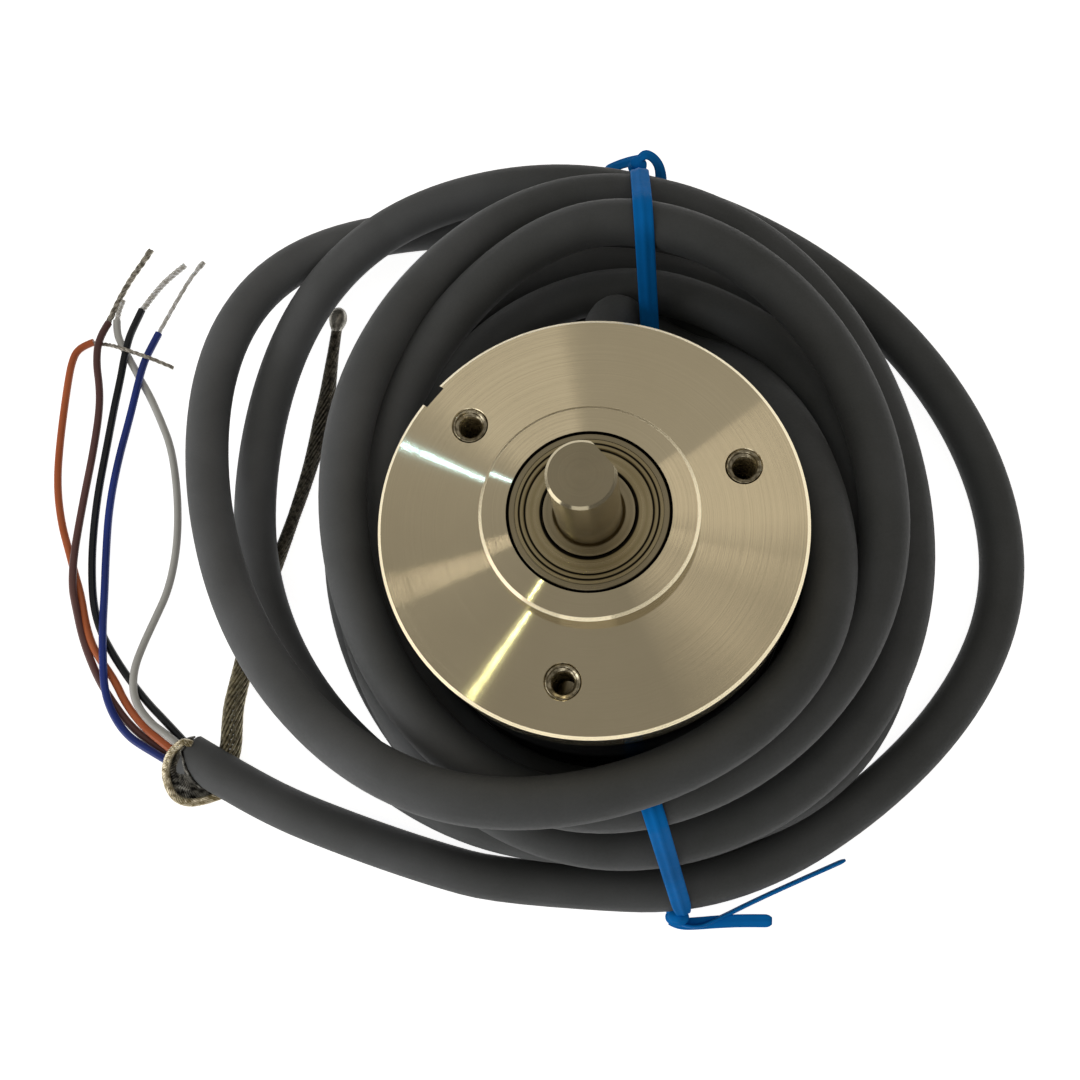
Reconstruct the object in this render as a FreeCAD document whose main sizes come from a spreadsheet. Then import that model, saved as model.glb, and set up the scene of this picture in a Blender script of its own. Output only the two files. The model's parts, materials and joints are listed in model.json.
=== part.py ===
import FreeCAD
import Part
import Sketcher
import math
import os

# Incremental rotary encoder with a coiled cable, in millimetres.
# The encoder stands on its rear cover: Z is the shaft axis, Z = 0 is the rear face.

Vector = FreeCAD.Vector
doc = FreeCAD.newDocument("encoder")

# Driving dimensions
sizes = {
    # housing
    "flange_dia": 40.0,
    "flange_thickness": 5.0,
    "body_length": 39.0,
    "boss_dia": 20.0,
    "boss_height": 4.0,
    "edge_chamfer": 0.3,
    "spigot_height": 4.0,
    "hub_wall": 2.0,
    "lip_thickness": 1.0,
    "lip_bore": 12.5,
    "notch_width": 2.4,
    "notch_depth": 0.6,
    "cover_inset": 0.2,
    "cover_wall": 1.5,
    "cover_base": 2.0,
    "fit_gap": 0.05,
    "seal_dia": 1.0,
    # mounting holes in the flange
    "mount_inset": 5.0,
    "mount_hole": 2.5,
    "mount_depth": 7.0,
    "mount_sink": 3.5,
    "mount_azimuth": 20.4,
    # shaft
    "shaft_dia": 6.0,
    "shaft_reach": 15.5,
    "shaft_chamfer": 0.25,
    "flat_depth": 0.5,
    "flat_azimuth": 41.0,
    "relief_depth": 0.25,
    "relief_width": 1.2,
    # bearings
    "bearing_od": 15.0,
    "bearing_width": 5.0,
    "bearing_span": 5.5,
    "ring_chamfer": 0.3,
    "shield_lip": 0.3,
    "shield_depth": 0.4,
    "shield_sheet": 0.25,
    "shield_rim": 0.8,
    "shield_gap": 0.15,
    "ball_gap": 0.05,
    "cage_thickness": 1.0,
    "cage_width": 3.2,
    "spacer_wall": 0.9,
    "sleeve_wall": 1.0,
    "washer_thickness": 0.5,
    "clip_thickness": 0.7,
    "clip_width": 1.6,
    "clip_groove": 0.4,
    # code disc and its hub
    "disc_inset": 4.5,
    "disc_thickness": 0.5,
    "hub_boss_dia": 11.0,
    "hub_boss_length": 3.4,
    "hub_plate_dia": 14.0,
    "hub_plate_thickness": 1.2,
    "hub_pilot_dia": 8.0,
    "hub_pilot_length": 2.4,
    "clamp_od": 13.0,
    "clamp_thickness": 1.2,
    "set_screw_dia": 2.0,
    # circuit board and its posts
    "board_gap": 0.8,
    "board_thickness": 1.6,
    "board_height": 8.0,
    "post_inset": 2.4,
    "post_dia": 3.4,
    "post_azimuth": 50.4,
    "stud_dia": 2.0,
    "stud_length": 2.5,
    "stud_hole_extra": 0.4,
    "screw_head_dia": 3.8,
    "screw_head_height": 1.0,
    "screw_reach": 2.8,
    # optics, on one azimuth
    "optics_azimuth": 230.4,
    "sensor_gap": 1.0,
    "sensor_width": 8.0,
    "detector_thickness": 1.0,
    "mask_thickness": 0.7,
    "optic_gap": 0.4,
    "column_thickness": 3.6,
    "arm_thickness": 1.8,
    "arm_setback": 0.5,
    "arm_clearance": 0.5,
    "emitter_dia": 3.0,
    "emitter_height": 0.7,
    # parts on the board
    "driver_length": 5.0,
    "driver_width": 4.0,
    "driver_thickness": 1.5,
    "capacitor_dia": 4.0,
    "capacitor_height": 3.5,
    "header_length": 7.0,
    "header_width": 3.5,
    "header_height": 4.0,
    "header_radius": 8.0,
    # cable gland
    "gland_height": 18.0,
    "gland_length": 6.2,
    "gland_collar_dia": 9.0,
    "gland_collar": 1.5,
    "gland_neck_dia": 7.0,
    "gland_root_dia": 7.6,
    "gland_tip_dia": 6.2,
    "gland_inner_gap": 1.9,
    "gland_inner_thickness": 1.2,
    "cable_stub": 2.4,
    # leads inside the housing
    "lead_pitch": 1.3,
    "lead_stub": 0.7,
    "lead_drop": 0.4,
    "lead_rise": 2.0,
    # cable and its cores
    "cable_dia": 5.0,
    "core_dia": 0.8,
    "tip_dia": 0.45,
    "drain_dia": 1.7,
    "drain_bead_dia": 2.4,
    "fold_dia": 6.4,
    "fold_length": 5.0,
    "fold_lap": 0.6,
    # coil of cable
    "coil_bore_gap": 0.4,
    "coil_wall": 6.0,
    "coil_waist": 20.0,
    "coil_height": 31.2,
    "coil_tilt": 0.1,
    # ties
    "tie_width": 2.2,
    "tie_thickness": 0.6,
    "tie_slack": 0.1,
    "tie_north_side": 4.7,
    "tie_north_gap": 8.4,
    "tie_bow_length": 9.0,
    "tie_bow_height": 2.5,
    "tie_south_side": 7.5,
    "tie_south_gap": 5.5,
    "tie_south_top": 28.0,
    "tie_knot_length": 3.0,
    "tie_knot_size": 2.0,
    "tie_tail_length": 11.0,
    "tie_tail_width": 1.8,
    "tie_edge_length": 19.0,
    "tie_edge_azimuth": 23.0,
}
# Shares of the space between the shaft and the outside of a bearing
shares = {
    "ball_share": 0.53,
    "inner_ring_share": 0.255,
    "outer_ring_share": 0.235,
}
# Dimensions that follow from the driving ones
follows = {
    "cover_dia": "flange_dia - 2 * cover_inset",
    "cover_bore": "cover_dia - 2 * cover_wall",
    "hub_dia": "bearing_od + 2 * hub_wall",
    "mount_circle": "flange_dia - 2 * mount_inset",
    "flat_length": "shaft_reach - boss_height - relief_width",
    "race": "(bearing_od - shaft_dia) / 2",
    "ball_circle": "(bearing_od + shaft_dia) / 2",
    "ball_dia": "race * ball_share",
    "inner_ring_od": "shaft_dia + 2 * race * inner_ring_share",
    "outer_ring_bore": "bearing_od - 2 * race * outer_ring_share",
    "shield_seat": "outer_ring_bore + 2 * shield_lip",
    "shield_step_dia": "shield_seat - 2 * shield_rim",
    "cage_bore": "ball_circle - cage_thickness",
    "cage_od": "ball_circle + cage_thickness",
    "spacer_bore": "bearing_od - 2 * spacer_wall",
    "spacer_od": "shaft_dia + 2 * sleeve_wall",
    "clip_od": "shaft_dia + 2 * clip_width",
    "board_dia": "cover_bore - 2 * board_gap",
    "post_circle": "cover_bore - 2 * post_inset",
    "disc_od": "board_dia - 2 * disc_inset",
    "bearing_stack": "2 * bearing_width + bearing_span + lip_thickness",
    "arm_stack": "arm_clearance + arm_thickness + emitter_height + optic_gap",
    "disc_height": "body_length + boss_height - bearing_stack - arm_stack - disc_thickness",
    "sensor_radius": "hub_plate_dia / 2 + sensor_gap",
    "sensor_length": "disc_od / 2 - sensor_radius",
    "arm_radius": "sensor_radius + arm_setback",
    "gland_reach": "cover_dia / 2 + gland_length",
    "gland_inner_radius": "cover_bore / 2 - gland_inner_gap",
    "cable_inner_radius": "gland_inner_radius - cable_stub",
}
ball_count = 7
post_count = 3
mount_count = 3

dim = doc.addObject("Spreadsheet::Sheet", "Dim")
formulas = {name: f"={formula}" for name, formula in follows.items()}
for row, (name, content) in enumerate({**sizes, **shares, **formulas}.items(), 1):
    dim.set(f"A{row}", name)
    dim.set(f"B{row}", str(content))
    dim.setAlias(f"B{row}", name)
doc.recompute()

nodes = []


def value(expression):
    return float(dim.evalExpression(expression))


# Levels and radii that follow from the driving dimensions
rim_back = "(Dim.body_length - Dim.flange_thickness)"
spigot_back = f"({rim_back} - Dim.spigot_height)"
boss_top = "(Dim.body_length + Dim.boss_height)"
front_bearing = f"({boss_top} - Dim.bearing_width)"
rear_bearing = f"({front_bearing} - Dim.bearing_span - Dim.bearing_width)"
hub_back = f"({rear_bearing} - Dim.lip_thickness)"
shaft_tip = "(Dim.body_length + Dim.shaft_reach)"
hub_plate = "(Dim.disc_height - Dim.hub_plate_thickness)"
shaft_end = f"({hub_plate} - Dim.hub_boss_length)"
cover_inner = "(Dim.cover_bore / 2)"
board_top = "(Dim.board_height + Dim.board_thickness)"
shaft_radius = "(Dim.shaft_dia / 2)"
post_radius = "(Dim.post_circle / 2)"
stud_hole = "(Dim.stud_dia / 2 + Dim.fit_gap)"
seal_radius = "(Dim.seal_dia / 2)"
seal_height = f"({spigot_back} + Dim.spigot_height / 2)"


def keep(feature, label):
    feature.Label = label
    nodes.append(feature)
    return feature


def place(feature, x="0", y="0", z="0", turn="0"):
    for axis, text in zip("xyz", (x, y, z)):
        feature.setExpression(f".Placement.Base.{axis}", text)
    feature.setExpression(".Placement.Rotation.Angle", turn)
    return feature


def polar(radius, azimuth):
    return f"{radius} * cos({azimuth})", f"{radius} * sin({azimuth})"


def origin_plane(body, role):
    return next(item for item in body.Origin.OriginFeatures if item.Role == role)


def plane_sketch(body, name, role="XY_Plane", height="0"):
    sketch = body.newObject("Sketcher::SketchObject", name)
    sketch.AttachmentSupport = [(origin_plane(body, role), "")]
    sketch.MapMode = "FlatFace"
    sketch.setExpression(".AttachmentOffset.Base.z", height)
    return sketch


def pin_point(sketch, line, across, along):
    # the start point of a line is held by its two coordinates
    for kind, axis, text in (("DistanceX", -2, across), ("DistanceY", -1, along)):
        number = value(text)
        if abs(number) < 1e-9:
            sketch.addConstraint(Sketcher.Constraint("PointOnObject", line, 1, axis))
        else:
            row = sketch.addConstraint(Sketcher.Constraint(kind, -1, 1, line, 1, number))
            sketch.setExpression(f"Constraints[{row}]", text)


def outline(sketch, corners):
    points = [Vector(value(across), value(along), 0) for across, along in corners]
    count = len(points)
    for index in range(count):
        sketch.addGeometry(Part.LineSegment(points[index], points[(index + 1) % count]))
    for index in range(count):
        following = (index + 1) % count
        sketch.addConstraint(Sketcher.Constraint("Coincident", index, 2, following, 1))
    for index, (across, along) in enumerate(corners):
        pin_point(sketch, index, across, along)


def circles(sketch, radius, centres):
    for index, (across, along) in enumerate(centres):
        middle = Vector(value(across), value(along), 0)
        sketch.addGeometry(Part.Circle(middle, Vector(0, 0, 1), value(radius)))
        row = sketch.addConstraint(Sketcher.Constraint("Radius", index, value(radius)))
        sketch.setExpression(f"Constraints[{row}]", radius)
        for kind, axis, text in (("DistanceX", -2, across), ("DistanceY", -1, along)):
            if abs(value(text)) < 1e-9:
                sketch.addConstraint(Sketcher.Constraint("PointOnObject", index, 3, axis))
            else:
                row = sketch.addConstraint(Sketcher.Constraint(kind, -1, 1, index, 3, value(text)))
                sketch.setExpression(f"Constraints[{row}]", text)


def turned(name, profile):
    # a body of revolution from a closed profile of radii and heights
    body = doc.addObject("PartDesign::Body", name)
    sketch = plane_sketch(body, f"{name}_profile", "XZ_Plane")
    outline(sketch, profile)
    turn = body.newObject("PartDesign::Revolution", f"{name}_turn")
    turn.Profile = sketch
    turn.ReferenceAxis = (sketch, ["V_Axis"])
    turn.Angle = 360.0
    sketch.Visibility = False
    doc.recompute()
    return body


def pocket(body, sketch, depth, upwards=False):
    before = body.Shape.Volume
    cut = body.newObject("PartDesign::Pocket", f"{sketch.Name}_cut")
    cut.Profile = sketch
    cut.setExpression("Length", depth)
    cut.Reversed = upwards
    doc.recompute()
    if body.Shape.Volume >= before:
        raise RuntimeError(f"{sketch.Name} removes nothing")
    return cut


def ring(name, bore, outside, length):
    inner, outer = f"({bore}) / 2", f"({outside}) / 2"
    return turned(name, [(inner, "0"), (outer, "0"), (outer, length), (inner, length)])


def block(name, length, width, height):
    solid = doc.addObject("Part::Box", name)
    for key, text in (("Length", length), ("Width", width), ("Height", height)):
        solid.setExpression(key, text)
    return solid


def rod(name, radius, length):
    solid = doc.addObject("Part::Cylinder", name)
    solid.setExpression("Radius", radius)
    solid.setExpression("Height", length)
    return solid


def ball(name, radius):
    solid = doc.addObject("Part::Sphere", name)
    solid.setExpression("Radius", radius)
    return solid


def less(name, base, tool):
    cut = doc.addObject("Part::Cut", name)
    cut.Base = base
    cut.Tool = tool
    doc.recompute()
    return cut


def together(name, pieces):
    joined = doc.addObject("Part::MultiFuse", name)
    joined.Shapes = pieces
    doc.recompute()
    return joined


def around(count, first):
    return [f"({first} + {index} * 360 / {count})" for index in range(count)]


post_azimuths = around(post_count, "Dim.post_azimuth")
post_places = [polar(post_radius, azimuth) for azimuth in post_azimuths]


# Flange with its pilot boss, bearing hub and cover spigot
def make_flange():
    rim = "Dim.flange_dia / 2"
    boss = "Dim.boss_dia / 2"
    spigot = f"({cover_inner} - Dim.fit_gap)"
    groove = f"({cover_inner} - 2 * {seal_radius})"
    groove_half = f"({seal_radius} + Dim.fit_gap)"
    body = turned("flange", [
        ("Dim.lip_bore / 2", hub_back),
        ("Dim.hub_dia / 2", hub_back),
        ("Dim.hub_dia / 2", spigot_back),
        (spigot, spigot_back),
        (spigot, f"{seal_height} - {groove_half}"),
        (groove, f"{seal_height} - {groove_half}"),
        (groove, f"{seal_height} + {groove_half}"),
        (spigot, f"{seal_height} + {groove_half}"),
        (spigot, rim_back),
        (rim, rim_back),
        (rim, "Dim.body_length - Dim.edge_chamfer"),
        (f"{rim} - Dim.edge_chamfer", "Dim.body_length"),
        (boss, "Dim.body_length"),
        (boss, f"{boss_top} - Dim.edge_chamfer"),
        (f"{boss} - Dim.edge_chamfer", boss_top),
        ("Dim.bearing_od / 2", boss_top),
        ("Dim.bearing_od / 2", rear_bearing),
        ("Dim.lip_bore / 2", rear_bearing),
    ])
    holes = plane_sketch(body, "mount_holes", height="Dim.body_length")
    azimuths = around(mount_count, "Dim.mount_azimuth")
    circles(holes, "Dim.mount_hole / 2", [polar("Dim.mount_circle / 2", azimuth) for azimuth in azimuths])
    doc.recompute()
    before = body.Shape.Volume
    drill = body.newObject("PartDesign::Hole", "mount_drill")
    drill.Profile = holes
    drill.DepthType = "Dimension"
    drill.setExpression("Diameter", "Dim.mount_hole")
    drill.setExpression("Depth", "Dim.mount_depth")
    drill.HoleCutType = "Countersink"
    drill.setExpression("HoleCutDiameter", "Dim.mount_sink")
    drill.DrillPoint = "Flat"
    doc.recompute()
    if body.Shape.Volume >= before:
        raise RuntimeError("the mounting holes remove nothing")
    studs = plane_sketch(body, "post_holes", height=spigot_back)
    circles(studs, stud_hole, post_places)
    pocket(body, studs, "Dim.stud_length + Dim.stud_hole_extra", upwards=True)
    notch = plane_sketch(body, "rim_notch", height="Dim.body_length")
    notch.setExpression(".AttachmentOffset.Rotation.Angle", azimuths[1])
    inner, outer = f"{rim} - Dim.notch_depth", f"{rim} + Dim.notch_depth"
    side = "Dim.notch_width / 2"
    outline(notch, [(inner, f"-{side}"), (outer, f"-{side}"), (outer, side), (inner, side)])
    pocket(body, notch, "Dim.flange_thickness")
    return keep(body, "flange")


# Rear cover, a closed cup with the cable hole in its wall
def make_cover():
    outer = "Dim.cover_dia / 2"
    body = turned("cover", [
        ("0", "0"),
        (f"{outer} - Dim.edge_chamfer", "0"),
        (outer, "Dim.edge_chamfer"),
        (outer, rim_back),
        (cover_inner, rim_back),
        (cover_inner, "Dim.cover_base"),
        ("0", "Dim.cover_base"),
    ])
    shank = plane_sketch(body, "cover_screw_holes")
    circles(shank, stud_hole, post_places)
    pocket(body, shank, "Dim.cover_base", upwards=True)
    wall_hole = plane_sketch(body, "cable_hole", "XZ_Plane")
    circles(wall_hole, "Dim.gland_neck_dia / 2", [("0", "Dim.gland_height")])
    pocket(body, wall_hole, "Dim.cover_dia", upwards=False)
    sinks = []
    for index, (x, y) in enumerate(post_places, 1):
        sink = doc.addObject("Part::Cone", f"screw_sink_{index}")
        sink.setExpression("Radius1", "Dim.screw_head_dia / 2 + Dim.fit_gap")
        sink.setExpression("Radius2", stud_hole)
        sink.setExpression("Height", "Dim.screw_head_height")
        sinks.append(place(sink, x, y))
    return keep(less("rear_cover_cut", body, together("screw_sinks", sinks)), "rear_cover")


def make_seal():
    seal = doc.addObject("Part::Torus", "seal")
    seal.setExpression("Radius1", f"{cover_inner} - {seal_radius}")
    seal.setExpression("Radius2", f"{seal_radius} - Dim.fit_gap / 2")
    keep(place(seal, z=seal_height), "cover_seal")


# Shaft with its flat, tip chamfer, clip groove and bearing relief
def make_shaft():
    relief = f"({shaft_radius} - Dim.relief_depth)"
    groove = f"({shaft_radius} - Dim.clip_groove)"
    groove_low = f"{rear_bearing} - Dim.clip_thickness"
    body = turned("shaft", [
        ("0", shaft_end),
        (shaft_radius, shaft_end),
        (shaft_radius, groove_low),
        (groove, groove_low),
        (groove, rear_bearing),
        (shaft_radius, rear_bearing),
        (shaft_radius, boss_top),
        (relief, boss_top),
        (relief, f"{boss_top} + Dim.relief_width"),
        (shaft_radius, f"{boss_top} + Dim.relief_width"),
        (shaft_radius, f"{shaft_tip} - Dim.shaft_chamfer"),
        (f"{shaft_radius} - Dim.shaft_chamfer", shaft_tip),
        ("0", shaft_tip),
    ])
    flat = plane_sketch(body, "shaft_flat", height=shaft_tip)
    flat.setExpression(".AttachmentOffset.Rotation.Angle", "Dim.flat_azimuth")
    inner, outer = f"{shaft_radius} - Dim.flat_depth", f"{shaft_radius} + Dim.flat_depth"
    side = shaft_radius
    outline(flat, [(inner, f"-{side}"), (outer, f"-{side}"), (outer, side), (inner, side)])
    pocket(body, flat, "Dim.flat_length")
    return keep(body, "shaft")


# One shielded ball bearing: rings, balls, cage and two shields
def make_bearing(end, base):
    seat = "Dim.shield_seat / 2"
    bore = "Dim.outer_ring_bore / 2"
    outer = "Dim.bearing_od / 2"
    step = "(Dim.bearing_width - Dim.shield_depth)"
    edge_low, edge_high = "Dim.ring_chamfer", "Dim.bearing_width - Dim.ring_chamfer"
    race = turned(f"{end}_outer_blank", [
        (seat, "0"),
        (f"{outer} - Dim.ring_chamfer", "0"),
        (outer, edge_low),
        (outer, edge_high),
        (f"{outer} - Dim.ring_chamfer", "Dim.bearing_width"),
        (seat, "Dim.bearing_width"),
        (seat, step),
        (bore, step),
        (bore, "Dim.shield_depth"),
        (seat, "Dim.shield_depth"),
    ])
    shoulder = "Dim.inner_ring_od / 2"
    cone = turned(f"{end}_inner_blank", [
        (f"{shaft_radius} + Dim.ring_chamfer", "0"),
        (shoulder, "0"),
        (shoulder, "Dim.bearing_width"),
        (f"{shaft_radius} + Dim.ring_chamfer", "Dim.bearing_width"),
        (shaft_radius, edge_high),
        (shaft_radius, edge_low),
    ])
    middle = f"{base} + Dim.bearing_width / 2"
    for side, blank in (("outer", race), ("inner", cone)):
        place(blank, z=base)
        track = doc.addObject("Part::Torus", f"{end}_{side}_track")
        track.setExpression("Radius1", "Dim.ball_circle / 2")
        track.setExpression("Radius2", "Dim.ball_dia / 2 + Dim.ball_gap")
        place(track, z=middle)
        keep(less(f"{end}_{side}_cut", blank, track), f"{end}_{side}_ring")

    balls, windows = [], []
    for index, azimuth in enumerate(around(ball_count, "0"), 1):
        x, y = polar("Dim.ball_circle / 2", azimuth)
        balls.append(place(ball(f"{end}_ball_{index}", "Dim.ball_dia / 2"), x, y, middle))
        window = rod(f"{end}_window_{index}", "Dim.ball_dia / 2 + Dim.ball_gap", "Dim.bearing_od / 2")
        outwards = FreeCAD.Rotation(Vector(0, 0, 1), value(azimuth)) * FreeCAD.Rotation(Vector(0, 1, 0), 90)
        window.Placement.Rotation = outwards
        window.setExpression(".Placement.Base.z", middle)
        windows.append(window)
    group = doc.addObject("Part::Compound", f"{end}_ball_group")
    group.Links = balls
    keep(group, f"{end}_balls")
    cage = ring(f"{end}_cage_blank", "Dim.cage_bore", "Dim.cage_od", "Dim.cage_width")
    place(cage, z=f"{middle} - Dim.cage_width / 2")
    keep(less(f"{end}_cage_cut", cage, together(f"{end}_windows", windows)), f"{end}_cage")

    inner = "(Dim.inner_ring_od / 2 + Dim.shield_gap)"
    rim = f"({seat} - Dim.fit_gap)"
    fold = "Dim.shield_step_dia / 2"
    sheet = "Dim.shield_sheet"
    dish = "(Dim.shield_depth - Dim.shield_sheet)"
    for side in ("upper", "lower"):
        # the rim of the shield is flush with the ring and its middle is dished inwards
        shield = turned(f"{end}_{side}_shield", [
            (inner, "0"),
            (f"{fold} + {sheet}", "0"),
            (f"{fold} + {sheet}", dish),
            (rim, dish),
            (rim, f"{dish} + {sheet}"),
            (fold, f"{dish} + {sheet}"),
            (fold, sheet),
            (inner, sheet),
        ])
        if side == "upper":
            place(shield, z=f"{base} + {step}")
        else:
            shield.Placement.Rotation = FreeCAD.Rotation(Vector(1, 0, 0), 180)
            shield.setExpression(".Placement.Base.z", f"{base} + Dim.shield_depth")
        keep(shield, f"{end}_{side}_shield")


# Spacers, preload washer and retaining clip between and behind the bearings
def make_bearing_stack():
    gap_base = f"{rear_bearing} + Dim.bearing_width"
    outer_length = "Dim.bearing_span - Dim.washer_thickness"
    outer = ring("outer_spacer", "Dim.spacer_bore", "Dim.bearing_od", outer_length)
    keep(place(outer, z=gap_base), "bearing_spacer")
    washer = ring("preload_ring", "Dim.spacer_bore", "Dim.bearing_od", "Dim.washer_thickness")
    keep(place(washer, z=f"{front_bearing} - Dim.washer_thickness"), "preload_washer")
    inner = ring("shaft_spacer", "Dim.shaft_dia", "Dim.spacer_od", "Dim.bearing_span")
    keep(place(inner, z=gap_base), "inner_spacer")
    clip = ring("clip_ring", "Dim.shaft_dia - 2 * Dim.clip_groove", "Dim.clip_od", "Dim.clip_thickness")
    keep(place(clip, z=f"{rear_bearing} - Dim.clip_thickness"), "retaining_clip")


# Code disc, its hub, clamp ring and set screw
def make_disc():
    boss = "Dim.hub_boss_dia / 2"
    plate = "Dim.hub_plate_dia / 2"
    pilot = "Dim.hub_pilot_dia / 2"
    blank = turned("disc_hub_blank", [
        (shaft_radius, shaft_end),
        (boss, shaft_end),
        (boss, hub_plate),
        (plate, hub_plate),
        (plate, "Dim.disc_height"),
        (pilot, "Dim.disc_height"),
        (pilot, "Dim.disc_height + Dim.hub_pilot_length"),
        (shaft_radius, "Dim.disc_height + Dim.hub_pilot_length"),
    ])
    screw_height = f"{shaft_end} + Dim.hub_boss_length / 2"
    screw_length = f"{boss} - {shaft_radius}"
    sideways = FreeCAD.Rotation(Vector(0, 1, 0), 90)
    hole = rod("set_screw_hole", "Dim.set_screw_dia / 2 + Dim.fit_gap", f"{boss} + Dim.set_screw_dia")
    hole.Placement.Rotation = sideways
    hole.setExpression(".Placement.Base.z", screw_height)
    keep(less("disc_hub_cut", blank, hole), "disc_hub")
    screw = rod("set_screw", "Dim.set_screw_dia / 2", screw_length)
    screw.Placement.Rotation = sideways
    screw.setExpression(".Placement.Base.x", shaft_radius)
    screw.setExpression(".Placement.Base.z", screw_height)
    keep(screw, "hub_set_screw")
    bore = "Dim.hub_pilot_dia + 2 * Dim.fit_gap"
    disc = ring("disc", bore, "Dim.disc_od", "Dim.disc_thickness")
    keep(place(disc, z="Dim.disc_height"), "code_disc")
    clamp = ring("clamp", bore, "Dim.clamp_od", "Dim.clamp_thickness")
    keep(place(clamp, z="Dim.disc_height + Dim.disc_thickness"), "disc_clamp")


# Circuit board on three posts, with the rear spacers and cover screws in line
def make_board():
    board = turned("board", [
        ("0", "0"),
        ("Dim.board_dia / 2", "0"),
        ("Dim.board_dia / 2", "Dim.board_thickness"),
        ("0", "Dim.board_thickness"),
    ])
    holes = plane_sketch(board, "board_holes")
    circles(holes, stud_hole, post_places)
    pocket(board, holes, "Dim.board_thickness", upwards=True)
    keep(place(board, z="Dim.board_height"), "circuit_board")

    stud = "Dim.stud_dia / 2"
    side = "Dim.post_dia / 2"
    hole_depth = "(Dim.stud_length + Dim.stud_hole_extra)"
    post_length = f"({spigot_back} - {board_top})"
    spacer_length = "(Dim.board_height - Dim.cover_base)"
    screw_depth = "(Dim.screw_reach + Dim.stud_hole_extra)"
    for index, (x, y) in enumerate(post_places, 1):
        post = turned(f"post_{index}", [
            ("0", hole_depth),
            (stud_hole, hole_depth),
            (stud_hole, "0"),
            (side, "0"),
            (side, post_length),
            (stud, post_length),
            (stud, f"{post_length} + Dim.stud_length"),
            ("0", f"{post_length} + Dim.stud_length"),
        ])
        keep(place(post, x, y, board_top), f"board_post_{index}")
        stud_top = f"{spacer_length} + Dim.board_thickness + Dim.stud_length"
        spacer = turned(f"spacer_{index}", [
            ("0", screw_depth),
            (stud_hole, screw_depth),
            (stud_hole, "0"),
            (side, "0"),
            (side, spacer_length),
            (stud, spacer_length),
            (stud, stud_top),
            ("0", stud_top),
        ])
        keep(place(spacer, x, y, "Dim.cover_base"), f"cover_spacer_{index}")
        screw = turned(f"screw_{index}", [
            ("0", "0"),
            ("Dim.screw_head_dia / 2", "0"),
            (stud, "Dim.screw_head_height"),
            (stud, "Dim.cover_base + Dim.screw_reach"),
            ("0", "Dim.cover_base + Dim.screw_reach"),
        ])
        keep(place(screw, x, y), f"cover_screw_{index}")


# Sensor under the disc, emitter over it on a bracket that stands on the board
def make_optics():
    azimuth = "Dim.optics_azimuth"
    mask_top = "(Dim.disc_height - Dim.optic_gap)"
    mask_base = f"({mask_top} - Dim.mask_thickness)"
    detector_base = f"({mask_base} - Dim.detector_thickness)"
    half = "Dim.sensor_width / 2"

    def stand(solid, radius, base, width, label):
        x = f"({radius}) * cos({azimuth}) + ({width}) * sin({azimuth})"
        y = f"({radius}) * sin({azimuth}) - ({width}) * cos({azimuth})"
        return keep(place(solid, x, y, base, azimuth), label)

    riser = block("sensor_riser", "Dim.sensor_length", "Dim.sensor_width", f"{detector_base} - {board_top}")
    stand(riser, "Dim.sensor_radius", board_top, half, "sensor_block")
    chip = block("detector_chip", "Dim.sensor_length", "Dim.sensor_width", "Dim.detector_thickness")
    stand(chip, "Dim.sensor_radius", detector_base, half, "photo_detector")
    mask = block("mask", "Dim.sensor_length", "Dim.sensor_width", "Dim.mask_thickness")
    stand(mask, "Dim.sensor_radius", mask_base, half, "mask_plate")

    disc_top = "(Dim.disc_height + Dim.disc_thickness)"
    arm_base = f"({disc_top} + Dim.optic_gap + Dim.emitter_height)"
    column_inner = "(Dim.disc_od / 2 + 2 * Dim.optic_gap)"
    column_outer = f"({column_inner} + Dim.column_thickness)"
    bracket = doc.addObject("PartDesign::Body", "bracket")
    side = plane_sketch(bracket, "bracket_side", "XZ_Plane")
    outline(side, [
        (column_inner, board_top),
        (column_outer, board_top),
        (column_outer, f"{arm_base} + Dim.arm_thickness"),
        ("Dim.arm_radius", f"{arm_base} + Dim.arm_thickness"),
        ("Dim.arm_radius", arm_base),
        (column_inner, arm_base),
    ])
    pad = bracket.newObject("PartDesign::Pad", "bracket_width")
    pad.Profile = side
    pad.setExpression("Length", "Dim.sensor_width")
    pad.Midplane = True
    doc.recompute()
    keep(place(bracket, turn=azimuth), "emitter_bracket")
    emitter = rod("emitter", "Dim.emitter_dia / 2", "Dim.emitter_height")
    x, y = polar("(Dim.sensor_radius + Dim.sensor_length / 2)", azimuth)
    keep(place(emitter, x, y, f"{disc_top} + Dim.optic_gap"), "emitter_led")


def make_board_parts():
    driver = block("driver", "Dim.driver_length", "Dim.driver_width", "Dim.driver_thickness")
    under = "Dim.board_height - Dim.driver_thickness"
    keep(place(driver, "-Dim.driver_length", "-Dim.driver_width", under), "line_driver")
    capacitor = rod("capacitor", "Dim.capacitor_dia / 2", "Dim.capacitor_height")
    under = "Dim.board_height - Dim.capacitor_height"
    keep(place(capacitor, "Dim.capacitor_dia", "Dim.capacitor_dia", under), "board_capacitor")
    header = block("header", "Dim.header_length", "Dim.header_width", "Dim.header_height")
    front = "Dim.header_radius - Dim.header_width / 2"
    keep(place(header, "-Dim.header_length / 2", front, board_top), "wire_header")


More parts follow.
